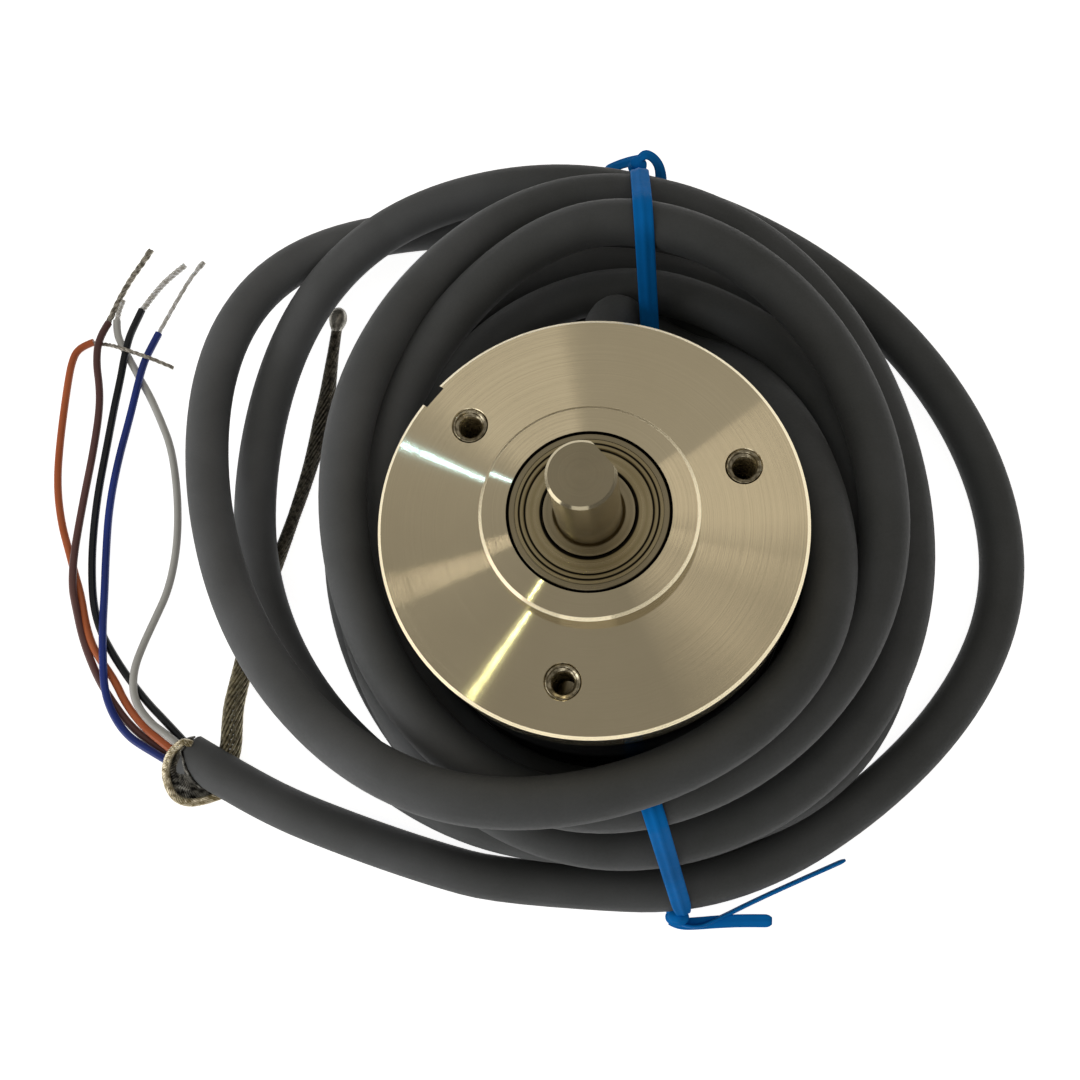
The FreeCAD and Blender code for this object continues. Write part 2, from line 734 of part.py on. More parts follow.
# Rubber gland in the cover wall, on the +Y side, with the cable's inner end
def make_gland():
    bore = "(Dim.cable_dia / 2 + Dim.fit_gap)"
    neck = "(Dim.gland_neck_dia / 2 - Dim.fit_gap)"
    collar = "Dim.gland_collar_dia / 2"
    wall = "(Dim.cover_dia / 2 + Dim.fit_gap)"
    inner = "Dim.gland_inner_radius"
    gland = turned("gland", [
        (bore, inner),
        (collar, inner),
        (collar, f"{inner} + Dim.gland_inner_thickness"),
        (neck, f"{inner} + Dim.gland_inner_thickness"),
        (neck, wall),
        (collar, wall),
        (collar, f"{wall} + Dim.gland_collar"),
        ("Dim.gland_root_dia / 2", f"{wall} + Dim.gland_collar"),
        ("Dim.gland_tip_dia / 2", "Dim.gland_reach"),
        (bore, "Dim.gland_reach"),
    ])
    outwards = FreeCAD.Rotation(Vector(1, 0, 0), -90)
    gland.Placement = FreeCAD.Placement(Vector(0, 0, value("Dim.gland_height")), outwards)
    keep(gland, "cable_gland")
    cable = rod("cable_inside", "Dim.cable_dia / 2", "Dim.cover_dia / 2 - Dim.cable_inner_radius")
    start = Vector(0, value("Dim.cable_inner_radius"), value("Dim.gland_height"))
    cable.Placement = FreeCAD.Placement(start, outwards)
    keep(cable, "inner_cable")


# Share of the shorter run that each bend of a cord takes up
bend_share = 0.45


# A bent round cord: straight runs joined by tangent arcs as large as the runs allow
def cord(name, points, diameter):
    points = [Vector(*point) for point in points]
    edges = []
    radii = []
    start = points[0]
    for before, corner, after in zip(points, points[1:], points[2:]):
        run = min((corner - before).Length, (after - corner).Length)
        back = (before - corner).normalize()
        ahead = (after - corner).normalize()
        turn = math.pi - back.getAngle(ahead)
        reach = bend_share * run
        radius = reach / math.tan(turn / 2)
        first = corner + back * reach
        last = corner + ahead * reach
        inwards = (back + ahead).normalize()
        crown = corner + inwards * (math.hypot(radius, reach) - radius)
        edges.append(Part.LineSegment(start, first).toShape())
        edges.append(Part.Arc(first, crown, last).toShape())
        radii.append(radius)
        start = last
    edges.append(Part.LineSegment(start, points[-1]).toShape())
    path = Part.Wire(edges)
    circle = Part.Circle(points[0], points[1] - points[0], diameter / 2)
    solid = path.makePipeShell([Part.Wire(circle.toShape())], True, False)
    section = math.pi * diameter ** 2 / 4
    share = solid.Volume / (section * path.Length)
    smallest = ", ".join(f"{radius:.1f}" for radius in radii)
    print(f"{name}: {path.Length:.1f} mm long, volume {share:.3f} of section x length, radii {smallest}")
    return solid


def solid_node(label, shape):
    feature = doc.addObject("Part::Feature", f"{label}_solid")
    feature.Shape = shape
    return keep(feature, label)


# Leads from the cable's inner end to the header on the board
def make_leads():
    start = value("Dim.cable_inner_radius - 4 * Dim.fit_gap")
    level = value("Dim.gland_height")
    pitch = value("Dim.core_dia + 4 * Dim.fit_gap")
    bend = start - value("Dim.lead_stub")
    foot = value("Dim.header_radius")
    header_top = value(f"{board_top} + Dim.header_height")
    shapes = []
    for index in (-2, -1, 0, 1, 2):
        pin = index * value("Dim.lead_pitch")
        points = [
            (index * pitch, start, level),
            (index * pitch, bend, level - value("Dim.lead_drop")),
            (pin, foot, header_top + value("Dim.lead_rise")),
            (pin, foot, header_top),
        ]
        shapes.append(cord(f"lead {index}", points, value("Dim.core_dia")))
    solid_node("inner_leads", Part.makeCompound(shapes))


# Route of the cable where it is not coiled, chosen from the photograph: its exit from the
# mouth of the gland onwards, its tail, the cores with their bare tips, and the shield's drain
exit_steps = [(0, 2, 0), (0.9, 4.2, 0), (3.2, 5.4, 0.2), (6.2, 5.5, 0.6), (9, 5, 1)]
tail_route = [(-13, -31.9, 2.5), (-25, -28.6, 2.5), (-37, -24.4, 2.5), (-48.3, -19.4, 2.5)]
core_routes = {
    "orange": [(-48.6, -19.4, 2.9), (-53.2, -16.3, 2.2), (-55.7, -14.5, 1.1), (-58.2, -11.8, 0.42),
               (-59.7, -9.1, 0.42), (-62.3, -5.6, 0.42), (-63.6, -2.6, 0.42),
               (-64.9, 1.3, 0.42), (-65.9, 3.9, 0.42), (-67, 6.9, 0.42), (-68.4, 10.7, 0.42),
               (-69.4, 15.5, 0.42), (-69.6, 20.8, 0.42), (-69.4, 27.9, 0.42), (-69.1, 32.2, 0.42),
               (-68.2, 34, 0.42), (-66.4, 34.6, 0.42)],
    "brown": [(-48.7, -19.7, 1.5), (-54.6, -16.6, 1), (-57.5, -14.4, 0.42), (-59.7, -11.8, 0.42),
              (-61.4, -9.5, 0.42), (-62.7, -7.2, 0.42), (-64.2, -4, 0.5), (-65.2, -0.2, 1),
              (-65.7, 2.1, 1.3), (-65.9, 5.4, 1.3), (-66.1, 9, 0.6), (-65.7, 14.2, 0.42),
              (-65.1, 19.8, 0.42), (-64.8, 25.1, 0.42), (-65, 28.3, 0.6), (-65.4, 31.4, 1.3),
              (-65.4, 34.8, 1.3), (-64.6, 37.1, 0.7)],
    "black": [(-48.1, -18.4, 2), (-52.7, -14.1, 1.3), (-55.4, -11.8, 0.6), (-58, -8.9, 0.42),
              (-60.2, -6, 0.42), (-62, -3.2, 0.42), (-63.2, 0, 0.42), (-63.8, 3.9, 0.42),
              (-64.1, 8.4, 0.42), (-64, 14.2, 0.42), (-63.4, 20.3, 0.42), (-62.9, 25.6, 0.42),
              (-62.2, 29.7, 0.9), (-61.8, 31.7, 1.3), (-61.4, 34.6, 1.3), (-61.1, 36.6, 0.8),
              (-60.4, 38.9, 0.42)],
    "blue": [(-49, -20.3, 2.3), (-54.5, -17.5, 1.8), (-57.3, -15.8, 1.3), (-59.3, -13.2, 1.3),
             (-60.5, -10.4, 1.3), (-61, -6.8, 1.3), (-61.4, -2.9, 1.3), (-61.9, 1.6, 0.6),
             (-62.2, 5.8, 0.42), (-62.4, 12.2, 0.42), (-61.8, 18.4, 0.42), (-60.7, 24.4, 0.5),
             (-59.8, 27.5, 1.3), (-59.2, 31.1, 1.3), (-58.6, 33.6, 0.8), (-57.9, 35.6, 0.42)],
    "white": [(-48.2, -18.6, 3.1), (-52, -15.8, 2.6), (-54, -14.7, 1.8), (-56.1, -12.6, 1.3),
              (-57, -10.4, 1.3), (-57, -7.7, 1.3), (-56.4, -4.6, 0.6), (-55.2, -1.4, 0.42),
              (-54, 1.7, 0.42), (-53.4, 5.5, 0.42), (-53.3, 9.6, 0.42), (-53.8, 14.7, 0.42),
              (-55, 20.2, 0.42), (-56.7, 23.9, 0.42), (-58.4, 27.2, 0.42), (-59.7, 29.2, 0.42),
              (-61.2, 31.7, 0.42), (-62.6, 34, 0.42), (-63.5, 35.8, 0.42), (-63.6, 37.5, 0.42)],
}
tip_routes = {
    "orange": [(-64.9, 34.2, 0.62), (-62.8, 33.3, 1.95), (-60.6, 32.5, 1.95), (-58.5, 31.8, 1.75),
               (-56.9, 31.3, 1.1), (-55.6, 30.9, 0.4)],
    "brown": [(-64.2, 38.6, 0.5), (-63.3, 41.1, 0.3), (-62.2, 43.4, 0.3), (-60.9, 45.5, 0.3),
              (-59.9, 47.3, 0.3)],
    "black": [(-58.9, 41.2, 0.3), (-57.4, 43.1, 0.3), (-55.2, 45, 0.3)],
    "blue": [(-56.9, 37.9, 0.3), (-55.7, 40.4, 0.3), (-54.1, 43.6, 0.3), (-52.7, 45.4, 0.3)],
    "white": [(-63.5, 38.5, 0.3), (-63.3, 39.5, 0.3), (-63, 40.3, 0.3)],
}
drain_route = [(-46.6, -15.4, 0.9), (-45.4, -11, 0.9), (-43.6, -4.6, 0.9), (-41.4, 2.4, 0.9),
               (-39.4, 9.6, 0.9), (-38, 17.4, 0.9), (-36.6, 25.4, 0.9), (-35, 33, 0.9)]

# Extreme points of the coil on the table and at its top, and how full each corner between them is
coil_foot = {"east": (47.8, 5), "north": (-8, 54.2), "west": (-50.2, 24), "south": (0, -35.5)}
coil_foot_fullness = {"east": 0.62, "north": 0.85, "west": 0.36, "south": 0.68}
coil_waist = {"east": (34.4, 4), "north": (0, 44.4), "west": (-36, 10), "south": (0, -30.4)}
coil_waist_fullness = {"east": 0.7, "north": 0.75, "west": 0.6, "south": 0.7}
coil_crown = {"east": (30.5, 3), "north": (0, 38), "west": (-29.8, 4), "south": (-3, -28)}
coil_crown_fullness = {"east": 0.7, "north": 0.7, "west": 0.7, "south": 0.7}
# Gaps between the loose outer turns and the rest: two ends, outer bulge and inner bulge
coil_gaps = [
    [(29, 26), (27, -20), (42.4, 4), (37.6, 4)],
    [(-26, 41), (-33, -5), (-40.4, 17), (-36, 15)],
]
# Room for the gland and the cable's first bend, from the mouth of the gland
gland_pocket = {"low": (-5, -8, -5.5), "high": (9, 8.5, 5.5)}


def oval(extremes, fullness, height, tilt=0):
    # each quarter is a conic from one extreme point to the next, fuller with a larger weight,
    # on a plane that falls to the north by the tilt
    order = ["east", "north", "west", "south"]
    edges = []
    for index, name in enumerate(order):
        first = extremes[name]
        last = extremes[order[(index + 1) % 4]]
        corner = (first[0], last[1]) if index % 2 == 0 else (last[0], first[1])
        poles = [Vector(x, y, height - tilt * y) for x, y in (first, corner, last)]
        quarter = Part.BSplineCurve()
        quarter.buildFromPolesMultsKnots(poles, [3, 3], [0, 1], False, 2, [1, fullness[name], 1])
        edges.append(quarter.toShape())
    return Part.Wire(edges)


def crescent(ends, bulges, height):
    first, last = (Vector(x, y, 0) for x, y in ends)
    arcs = [Part.Arc(first, Vector(x, y, 0), last).toShape() for x, y in bulges]
    return Part.Face(Part.Wire(arcs)).extrude(Vector(0, 0, height))


def tie_loop(corners, side):
    # a flat band bent round the bundle in a plane square to X
    width = value("Dim.tie_width")
    thickness = value("Dim.tie_thickness")
    points = [Vector(side - width / 2, y, z) for y, z in corners]
    wire = Part.makePolygon(points + points[:1])
    outer = wire.makeOffset2D(thickness, 2)
    return Part.Face(outer).cut(Part.Face(wire)).extrude(Vector(width, 0, 0))


def strip(length, width, height, base, azimuth=0):
    solid = Part.makeBox(length, width, height)
    solid.Placement = FreeCAD.Placement(Vector(*base), FreeCAD.Rotation(Vector(0, 0, 1), azimuth))
    return solid


# Ties round the coil: a bow of ribbon at the north one, a knot and two tails at the south one
def make_ties():
    tie = value("Dim.tie_thickness")
    wall = value("Dim.coil_wall")
    waist = value("Dim.coil_waist")
    body = value("Dim.flange_dia / 2")
    inner = body + value("Dim.tie_north_gap")
    outer = coil_foot["north"][1]
    crest = coil_crown["north"][1]
    side = value("Dim.tie_north_side")
    rise = [(outer, wall), (coil_waist["north"][1], waist), (crest, crown_level(crest))]
    loop = [(inner, tie), (outer, tie)] + rise + [(inner, crown_level(inner))]
    bow_length = value("Dim.tie_bow_length")
    bow_base = (side - bow_length * 0.8, outer + tie, value("Dim.tie_bow_height"))
    bow = strip(bow_length, tie, value("Dim.tie_width"), bow_base)
    north = tie_loop(loop, side).fuse(bow)

    inner = -body - value("Dim.tie_south_gap")
    outer = coil_foot["south"][1] - value("Dim.tie_slack")
    side = value("Dim.tie_south_side")
    top = value("Dim.tie_south_top")
    crest = coil_crown["south"][1]
    bend = coil_waist["south"][1]
    brow = bend + (crest - bend) * (top - waist) / (crown_level(crest) - waist)
    loop = [(inner, tie), (inner, top), (brow, top), (bend, waist), (outer, wall), (outer, tie)]
    knot = value("Dim.tie_knot_size")
    knot_length = value("Dim.tie_knot_length")
    knot_low = outer - tie - knot * 0.8
    foot = tie / 8
    tail_width = value("Dim.tie_tail_width")
    pieces = [
        strip(knot_length, knot, knot, (side - knot_length / 2, knot_low, foot)),
        strip(value("Dim.tie_tail_length"), tail_width, tie, (side, knot_low + tie / 4, foot)),
        strip(value("Dim.tie_edge_length"), tie, tail_width, (side, knot_low + knot / 2, foot),
              value("Dim.tie_edge_azimuth")),
    ]
    south = tie_loop(loop, side).fuse(pieces).removeSplitter()
    return north, south


def crown_level(y):
    return value("Dim.coil_height") - value("Dim.coil_tilt") * y


# The loose coil as one solid, with room for the encoder, the gland and what lies in or on it
def make_coil(mouth, fillings):
    tilt = value("Dim.coil_tilt")
    reach = value("Dim.body_length")
    levels = [
        oval(coil_foot, coil_foot_fullness, 0),
        oval(coil_foot, coil_foot_fullness, value("Dim.coil_wall")),
        oval(coil_waist, coil_waist_fullness, value("Dim.coil_waist")),
        oval(coil_crown, coil_crown_fullness, value("Dim.coil_height"), tilt),
    ]
    lofts = [Part.makeLoft([low, high], True, True) for low, high in zip(levels, levels[1:])]
    coil = lofts[0].fuse(lofts[1:])
    bore = value("Dim.flange_dia / 2 + Dim.coil_bore_gap")
    coil = coil.cut(Part.makeCylinder(bore, reach))
    low = mouth + Vector(*gland_pocket["low"])
    room = mouth + Vector(*gland_pocket["high"]) - low
    coil = coil.cut(Part.makeBox(room.x, room.y, room.z, low))
    for first, last, outer, inner in coil_gaps:
        coil = coil.cut(crescent((first, last), (outer, inner), reach))
    coil = coil.cut(fillings)
    return max(coil.Solids, key=lambda solid: solid.Volume)


# Shield braid folded back over the end of the jacket, flattened where it lies on the table
def make_fold():
    end = Vector(*tail_route[-1])
    heading = (end - Vector(*tail_route[-2])).normalize()
    length = value("Dim.fold_length")
    dia = value("Dim.fold_dia")
    base = end - heading * (length - value("Dim.fold_lap"))
    fold = Part.makeCylinder(dia / 2, length, base, heading)
    jacket = value("(Dim.cable_dia + Dim.fit_gap) / 2")
    fold = fold.cut(Part.makeCylinder(jacket, length, base, heading))
    table = Part.makeBox(4 * dia, 4 * dia, dia, end - Vector(2 * dia, 2 * dia, dia + end.z))
    return fold.cut(table)


def make_drain():
    end = Vector(*drain_route[-1])
    heading = (end - Vector(*drain_route[-2])).normalize()
    radius = value("Dim.drain_bead_dia / 2")
    middle = end + heading * radius / 2
    middle.z = radius
    return cord("shield drain", drain_route, value("Dim.drain_dia")).fuse(Part.makeSphere(radius, middle))


# The cable: exit, loose coil, tail, folded shield, drain, cores and their tips, and the ties
def make_cable():
    diameter = value("Dim.cable_dia")
    mouth = Vector(0, value("Dim.gland_reach"), value("Dim.gland_height"))
    wall = Vector(0, value("Dim.cover_dia / 2"), mouth.z)
    exit_tube = cord("cable exit", [wall] + [mouth + Vector(*step) for step in exit_steps], diameter)
    drain = make_drain()
    north_tie, south_tie = make_ties()
    coil = make_coil(mouth, [exit_tube, drain, north_tie, south_tie])
    solid_node("cable_exit", exit_tube)
    solid_node("cable_coil", coil)
    solid_node("cable_tail", cord("cable tail", tail_route, diameter).cut(coil))
    solid_node("shield_fold", make_fold())
    solid_node("shield_drain", drain)
    solid_node("tie_north", north_tie)
    solid_node("tie_south", south_tie)
    tips = []
    for colour, route in core_routes.items():
        solid_node(f"core_{colour}", cord(f"core {colour}", route, value("Dim.core_dia")))
        end = Vector(*route[-1])
        start = end + (end - Vector(*route[-2])).normalize() * value("4 * Dim.fit_gap")
        tips.append(cord(f"tip {colour}", [start] + tip_routes[colour], value("Dim.tip_dia")))
    solid_node("core_tips", Part.makeCompound(tips))


make_flange()
make_cover()
make_seal()
make_bearing("front", front_bearing)
make_bearing("rear", rear_bearing)
make_bearing_stack()
make_board()
make_optics()
make_board_parts()
make_gland()
make_leads()
make_shaft()
make_disc()
make_cable()

doc.recompute()
for item in doc.Objects:
    if "Invalid" in item.State or "Error" in item.State:
        raise RuntimeError(f"{item.Name} did not build: {item.State}")
for node in nodes:
    if node.Shape.isNull() or not node.Shape.isValid():
        raise RuntimeError(f"{node.Label} has no valid shape")

os.makedirs("parts", exist_ok=True)
for node in nodes:
    node.Shape.exportStep(f"parts/{node.Label}.step")
print(len(nodes), "sub-parts written")
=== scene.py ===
import json
import bmesh
import bpy
import numpy as np
from mathutils import Matrix


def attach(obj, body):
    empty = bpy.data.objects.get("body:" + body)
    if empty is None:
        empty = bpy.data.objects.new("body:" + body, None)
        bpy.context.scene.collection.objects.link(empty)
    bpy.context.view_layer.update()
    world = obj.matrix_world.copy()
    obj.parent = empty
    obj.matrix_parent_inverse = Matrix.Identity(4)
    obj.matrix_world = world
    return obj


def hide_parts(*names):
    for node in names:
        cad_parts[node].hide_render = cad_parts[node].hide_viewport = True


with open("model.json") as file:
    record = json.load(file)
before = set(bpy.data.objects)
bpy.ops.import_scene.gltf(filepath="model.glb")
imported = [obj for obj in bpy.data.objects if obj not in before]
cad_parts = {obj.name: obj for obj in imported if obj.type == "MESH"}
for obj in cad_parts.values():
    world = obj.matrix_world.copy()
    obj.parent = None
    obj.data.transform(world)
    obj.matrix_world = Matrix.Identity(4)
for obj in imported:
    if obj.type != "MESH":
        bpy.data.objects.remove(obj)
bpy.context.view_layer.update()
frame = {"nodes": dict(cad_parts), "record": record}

mm = 0.001
scene = bpy.context.scene
scene.view_settings.view_transform = "Standard"
print("frame loaded:", len(frame["nodes"]), "nodes")


# Camera: above the shaft, tipped a little to the south, as the photograph was taken
cameraView = {
    "place": (7.19, -32.99, 164.91),  # mm
    "tilt": 14.91,  # degrees from straight down
    "heading": -20.81,  # degrees east of north
    "roll": 0.89,
    "lens": 47.12,  # mm, on a film of this width
    "film": 36.0,
}


def placeCamera(view):
    # axes from tilt and heading: ahead, right = ahead x north, up = right x ahead, then turned by the roll
    tilt, heading, roll = np.radians([view["tilt"], view["heading"], view["roll"]])
    ahead = np.array([np.sin(tilt) * np.sin(heading), np.sin(tilt) * np.cos(heading), -np.cos(tilt)])
    right = np.cross(ahead, [0, 1, 0])
    right /= np.linalg.norm(right)
    up = np.cross(right, ahead)
    right, up = np.cos(roll) * right + np.sin(roll) * up, np.cos(roll) * up - np.sin(roll) * right
    data = bpy.data.cameras.new("photoCamera")
    data.lens, data.sensor_width, data.clip_start = view["lens"], view["film"], 0.01
    camera = bpy.data.objects.new("photoCamera", data)
    scene.collection.objects.link(camera)
    turned = np.eye(4)
    turned[:3, :3] = np.column_stack([right, up, -ahead])
    turned[:3, 3] = np.array(view["place"]) * mm
    camera.matrix_world = Matrix(turned.tolist())
    scene.camera = camera


placeCamera(cameraView)


# Colours and nodes
def linear(code):
    # sRGB hex to linear: below 0.04045 divide by 12.92, above it ((c + 0.055) / 1.055) to the power 2.4
    c = np.array([int(code[k:k + 2], 16) for k in (1, 3, 5)]) / 255
    return [*np.where(c <= 0.04045, c / 12.92, ((c + 0.055) / 1.055) ** 2.4).tolist(), 1.0]


def addNode(finish, kind, inputs=None, **settings):
    # one node with its settings; an input is a plain value or the socket that feeds it
    made = finish.node_tree.nodes.new("ShaderNode" + kind)
    for key, value in settings.items():
        setattr(made, key, value)
    for key, value in (inputs or {}).items():
        if isinstance(value, bpy.types.NodeSocket):
            finish.node_tree.links.new(value, made.inputs[key])
        else:
            made.inputs[key].default_value = value
    return made.outputs


def newFinish(name, values):
    # one Principled surface with plain values on its sockets
    finish = bpy.data.materials.new(name)
    finish.use_nodes = True
    shader = finish.node_tree.nodes["Principled BSDF"]
    for key, value in values.items():
        shader.inputs[key].default_value = value
    return finish, shader


def feed(finish, shader, **sockets):
    # links each socket to the shader's input of that name, an underscore standing for a space
    for key, socket in sockets.items():
        finish.node_tree.links.new(socket, shader.inputs[key.replace("_", " ")])


def turnedMetal(name, tint, shade, roughness, feedMarks, slope, spread, lean=0.0, seamShade=()):
    # turned or ground metal: tool marks run round the axis and tip the surface in or out along the radius,
    #     # or up and down on a round side, so light is drawn out across them into wedges;
    #     # feedMarks is their spacing in mm, lean their mean tip, and the last argument is dark rings of
    #     (radius, width)
    #     # in mm, painted shade in seams and creases
    finish, shader = newFinish(name, {"Metallic": 1.0, "Anisotropic": spread})
    place = addNode(finish, "TexCoord")["Object"]
    outward = addNode(finish, "VectorMath", {0: place, 1: (1, 1, 0)}, operation="MULTIPLY")["Vector"]
    radius = addNode(finish, "VectorMath", {0: outward}, operation="LENGTH")["Value"]
    radial = addNode(finish, "VectorMath", {0: outward}, operation="NORMALIZE")["Vector"]
    height = addNode(finish, "SeparateXYZ", {0: place})["Z"]
    marks = {"Scale": 1 / (feedMarks * mm), "Detail": 3.0}
    rings = addNode(finish, "TexNoise", {"W": radius, **marks}, noise_dimensions="1D")["Fac"]
    hoops = addNode(finish, "TexNoise", {"W": height, **marks}, noise_dimensions="1D")["Fac"]
    outRange = {1: 0.25, 2: 0.75, 3: lean - slope, 4: lean + slope}
    upRange = {1: 0.25, 2: 0.75, 3: -slope / 2, 4: slope / 2}
    tipOut = addNode(finish, "MapRange", {0: rings, **outRange}, clamp=False)[0]
    tipUp = addNode(finish, "MapRange", {0: hoops, **upRange}, clamp=False)[0]
    facing = addNode(finish, "NewGeometry")["Normal"]
    upShare = addNode(finish, "SeparateXYZ", {0: facing})["Z"]
    level = addNode(finish, "Math", {0: upShare}, operation="ABSOLUTE")[0]
    upright = addNode(finish, "Math", {0: 1.0, 1: level}, operation="SUBTRACT")[0]
    tipOut = addNode(finish, "Math", {0: tipOut, 1: level}, operation="MULTIPLY")[0]
    tipUp = addNode(finish, "Math", {0: tipUp, 1: upright}, operation="MULTIPLY")[0]
    out = addNode(finish, "VectorMath", {0: radial, "Scale": tipOut}, operation="SCALE")["Vector"]
    rise = addNode(finish, "CombineXYZ", {2: tipUp})[0]
    tipped = addNode(finish, "VectorMath", {0: facing, 1: out}, operation="ADD")["Vector"]
    tipped = addNode(finish, "VectorMath", {0: tipped, 1: rise}, operation="ADD")["Vector"]
    normal = addNode(finish, "VectorMath", {0: tipped}, operation="NORMALIZE")["Vector"]
    bands = {"W": radius, "Scale": 1 / (6 * feedMarks * mm), "Detail": 4.0}  # six marks wide
    coarse = addNode(finish, "TexNoise", bands, noise_dimensions="1D")["Fac"]
    cloud = addNode(finish, "TexNoise", {"Vector": place, "Scale": 1 / (7 * mm), "Detail": 3.0})["Fac"]
    both = addNode(finish, "Math", {0: coarse, 1: cloud}, operation="MULTIPLY")[0]
    share = addNode(finish, "MapRange", {0: both, 1: 0.12, 2: 0.38})[0]
    colour = addNode(finish, "Mix", {0: share, 6: linear(shade), 7: linear(tint)}, data_type="RGBA")[2]
    # painted shade: the colour goes to near black in a ring at each seam or crease
    for ring, width in seamShade:
        off = addNode(finish, "Math", {0: radius, 1: ring * mm}, operation="SUBTRACT")[0]
        off = addNode(finish, "Math", {0: off}, operation="ABSOLUTE")[0]
        awayFromSeam = addNode(finish, "MapRange", {0: off, 1: width * mm / 2, 2: width * mm})[0]
        colour = addNode(finish, "Mix", {0: awayFromSeam, 6: linear("#1a1711"), 7: colour}, data_type="RGBA")[2]
    roughRange = {1: 0.3, 2: 0.7, 3: roughness * 1.08, 4: roughness * 0.94}
    rough = addNode(finish, "MapRange", {0: coarse, **roughRange})[0]
    feed(finish, shader, Base_Color=colour, Roughness=rough, Normal=normal, Tangent=radial)
    return finish


def faded(finish, place, share, colour, far):
    # with far = (axis, tint, shade, start, stop) the colour changes evenly along the axis,
    # from start to stop in mm
    if not far:
        return colour
    axis, tint, shade, start, stop = far
    other = addNode(finish, "Mix", {0: share, 6: linear(shade), 7: linear(tint)}, data_type="RGBA")[2]
    along = addNode(finish, "SeparateXYZ", {0: place})[axis]
    change = addNode(finish, "MapRange", {0: along, 1: start * mm, 2: stop * mm})[0]
    return addNode(finish, "Mix", {0: change, 6: colour, 7: other}, data_type="RGBA")[2]


def mouldedPlastic(name, tint, shade, roughness, grain, relief, sheen=0.0, gloss=0.4, far=None):
    # moulded or extruded plastic and rubber: an even colour that clouds slightly, over a fine dull grain
    # whose width and height are grain and relief, in mm
    finish, shader = newFinish(name, {
        "Specular IOR Level": gloss, "Sheen Weight": sheen, "Sheen Roughness": 0.5,
    })
    place = addNode(finish, "TexCoord")["Object"]
    fine = addNode(finish, "TexNoise", {"Vector": place, "Scale": 1 / (grain * mm), "Detail": 4.0})["Fac"]
    cloud = addNode(finish, "TexNoise", {"Vector": place, "Scale": 1 / (9 * mm), "Detail": 3.0})["Fac"]
    share = addNode(finish, "MapRange", {0: cloud, 1: 0.35, 2: 0.65})[0]
    colour = addNode(finish, "Mix", {0: share, 6: linear(shade), 7: linear(tint)}, data_type="RGBA")[2]
    colour = faded(finish, place, share, colour, far)
    roughRange = {1: 0.3, 2: 0.7, 3: roughness * 0.88, 4: roughness * 1.12}
    rough = addNode(finish, "MapRange", {0: fine, **roughRange})[0]
    bump = addNode(finish, "Bump", {"Strength": 0.5, "Distance": relief * mm, "Height": fine})[0]
    feed(finish, shader, Base_Color=colour, Roughness=rough, Normal=bump)
    return finish


def drawnWire(name, tint, shade, roughness, grain, relief, metallic=1.0, far=None):
    # tinned copper wire: bright solder over warm copper, blotched and slightly rough where it was dipped;
    # grain and relief are the blotches' width and height in mm
    finish, shader = newFinish(name, {"Metallic": metallic})
    place = addNode(finish, "TexCoord")["Object"]
    blotch = addNode(finish, "TexNoise", {"Vector": place, "Scale": 1 / (grain * mm), "Detail": 5.0})["Fac"]
    share = addNode(finish, "MapRange", {0: blotch, 1: 0.38, 2: 0.62})[0]
    colour = addNode(finish, "Mix", {0: share, 6: linear(shade), 7: linear(tint)}, data_type="RGBA")[2]
    colour = faded(finish, place, share, colour, far)
    roughRange = {1: 0.3, 2: 0.7, 3: roughness * 1.4, 4: roughness * 0.7}
    rough = addNode(finish, "MapRange", {0: blotch, **roughRange})[0]
    bump = addNode(finish, "Bump", {"Strength": 0.6, "Distance": relief * mm, "Height": blotch})[0]
    feed(finish, shader, Base_Color=colour, Roughness=rough, Normal=bump)
    return finish


def clearGlass(name, tint):
    # float glass of the code disc: clear, with a hint of green
    finish, shader = newFinish(name, {"Base Color": linear(tint), "Transmission Weight": 1.0, "IOR": 1.5})
    place = addNode(finish, "TexCoord")["Object"]
    haze = addNode(finish, "TexNoise", {"Vector": place, "Scale": 1 / (4 * mm), "Detail": 3.0})["Fac"]
    rough = addNode(finish, "MapRange", {0: haze, 3: 0.02, 4: 0.07})[0]
    feed(finish, shader, Roughness=rough)
    return finish


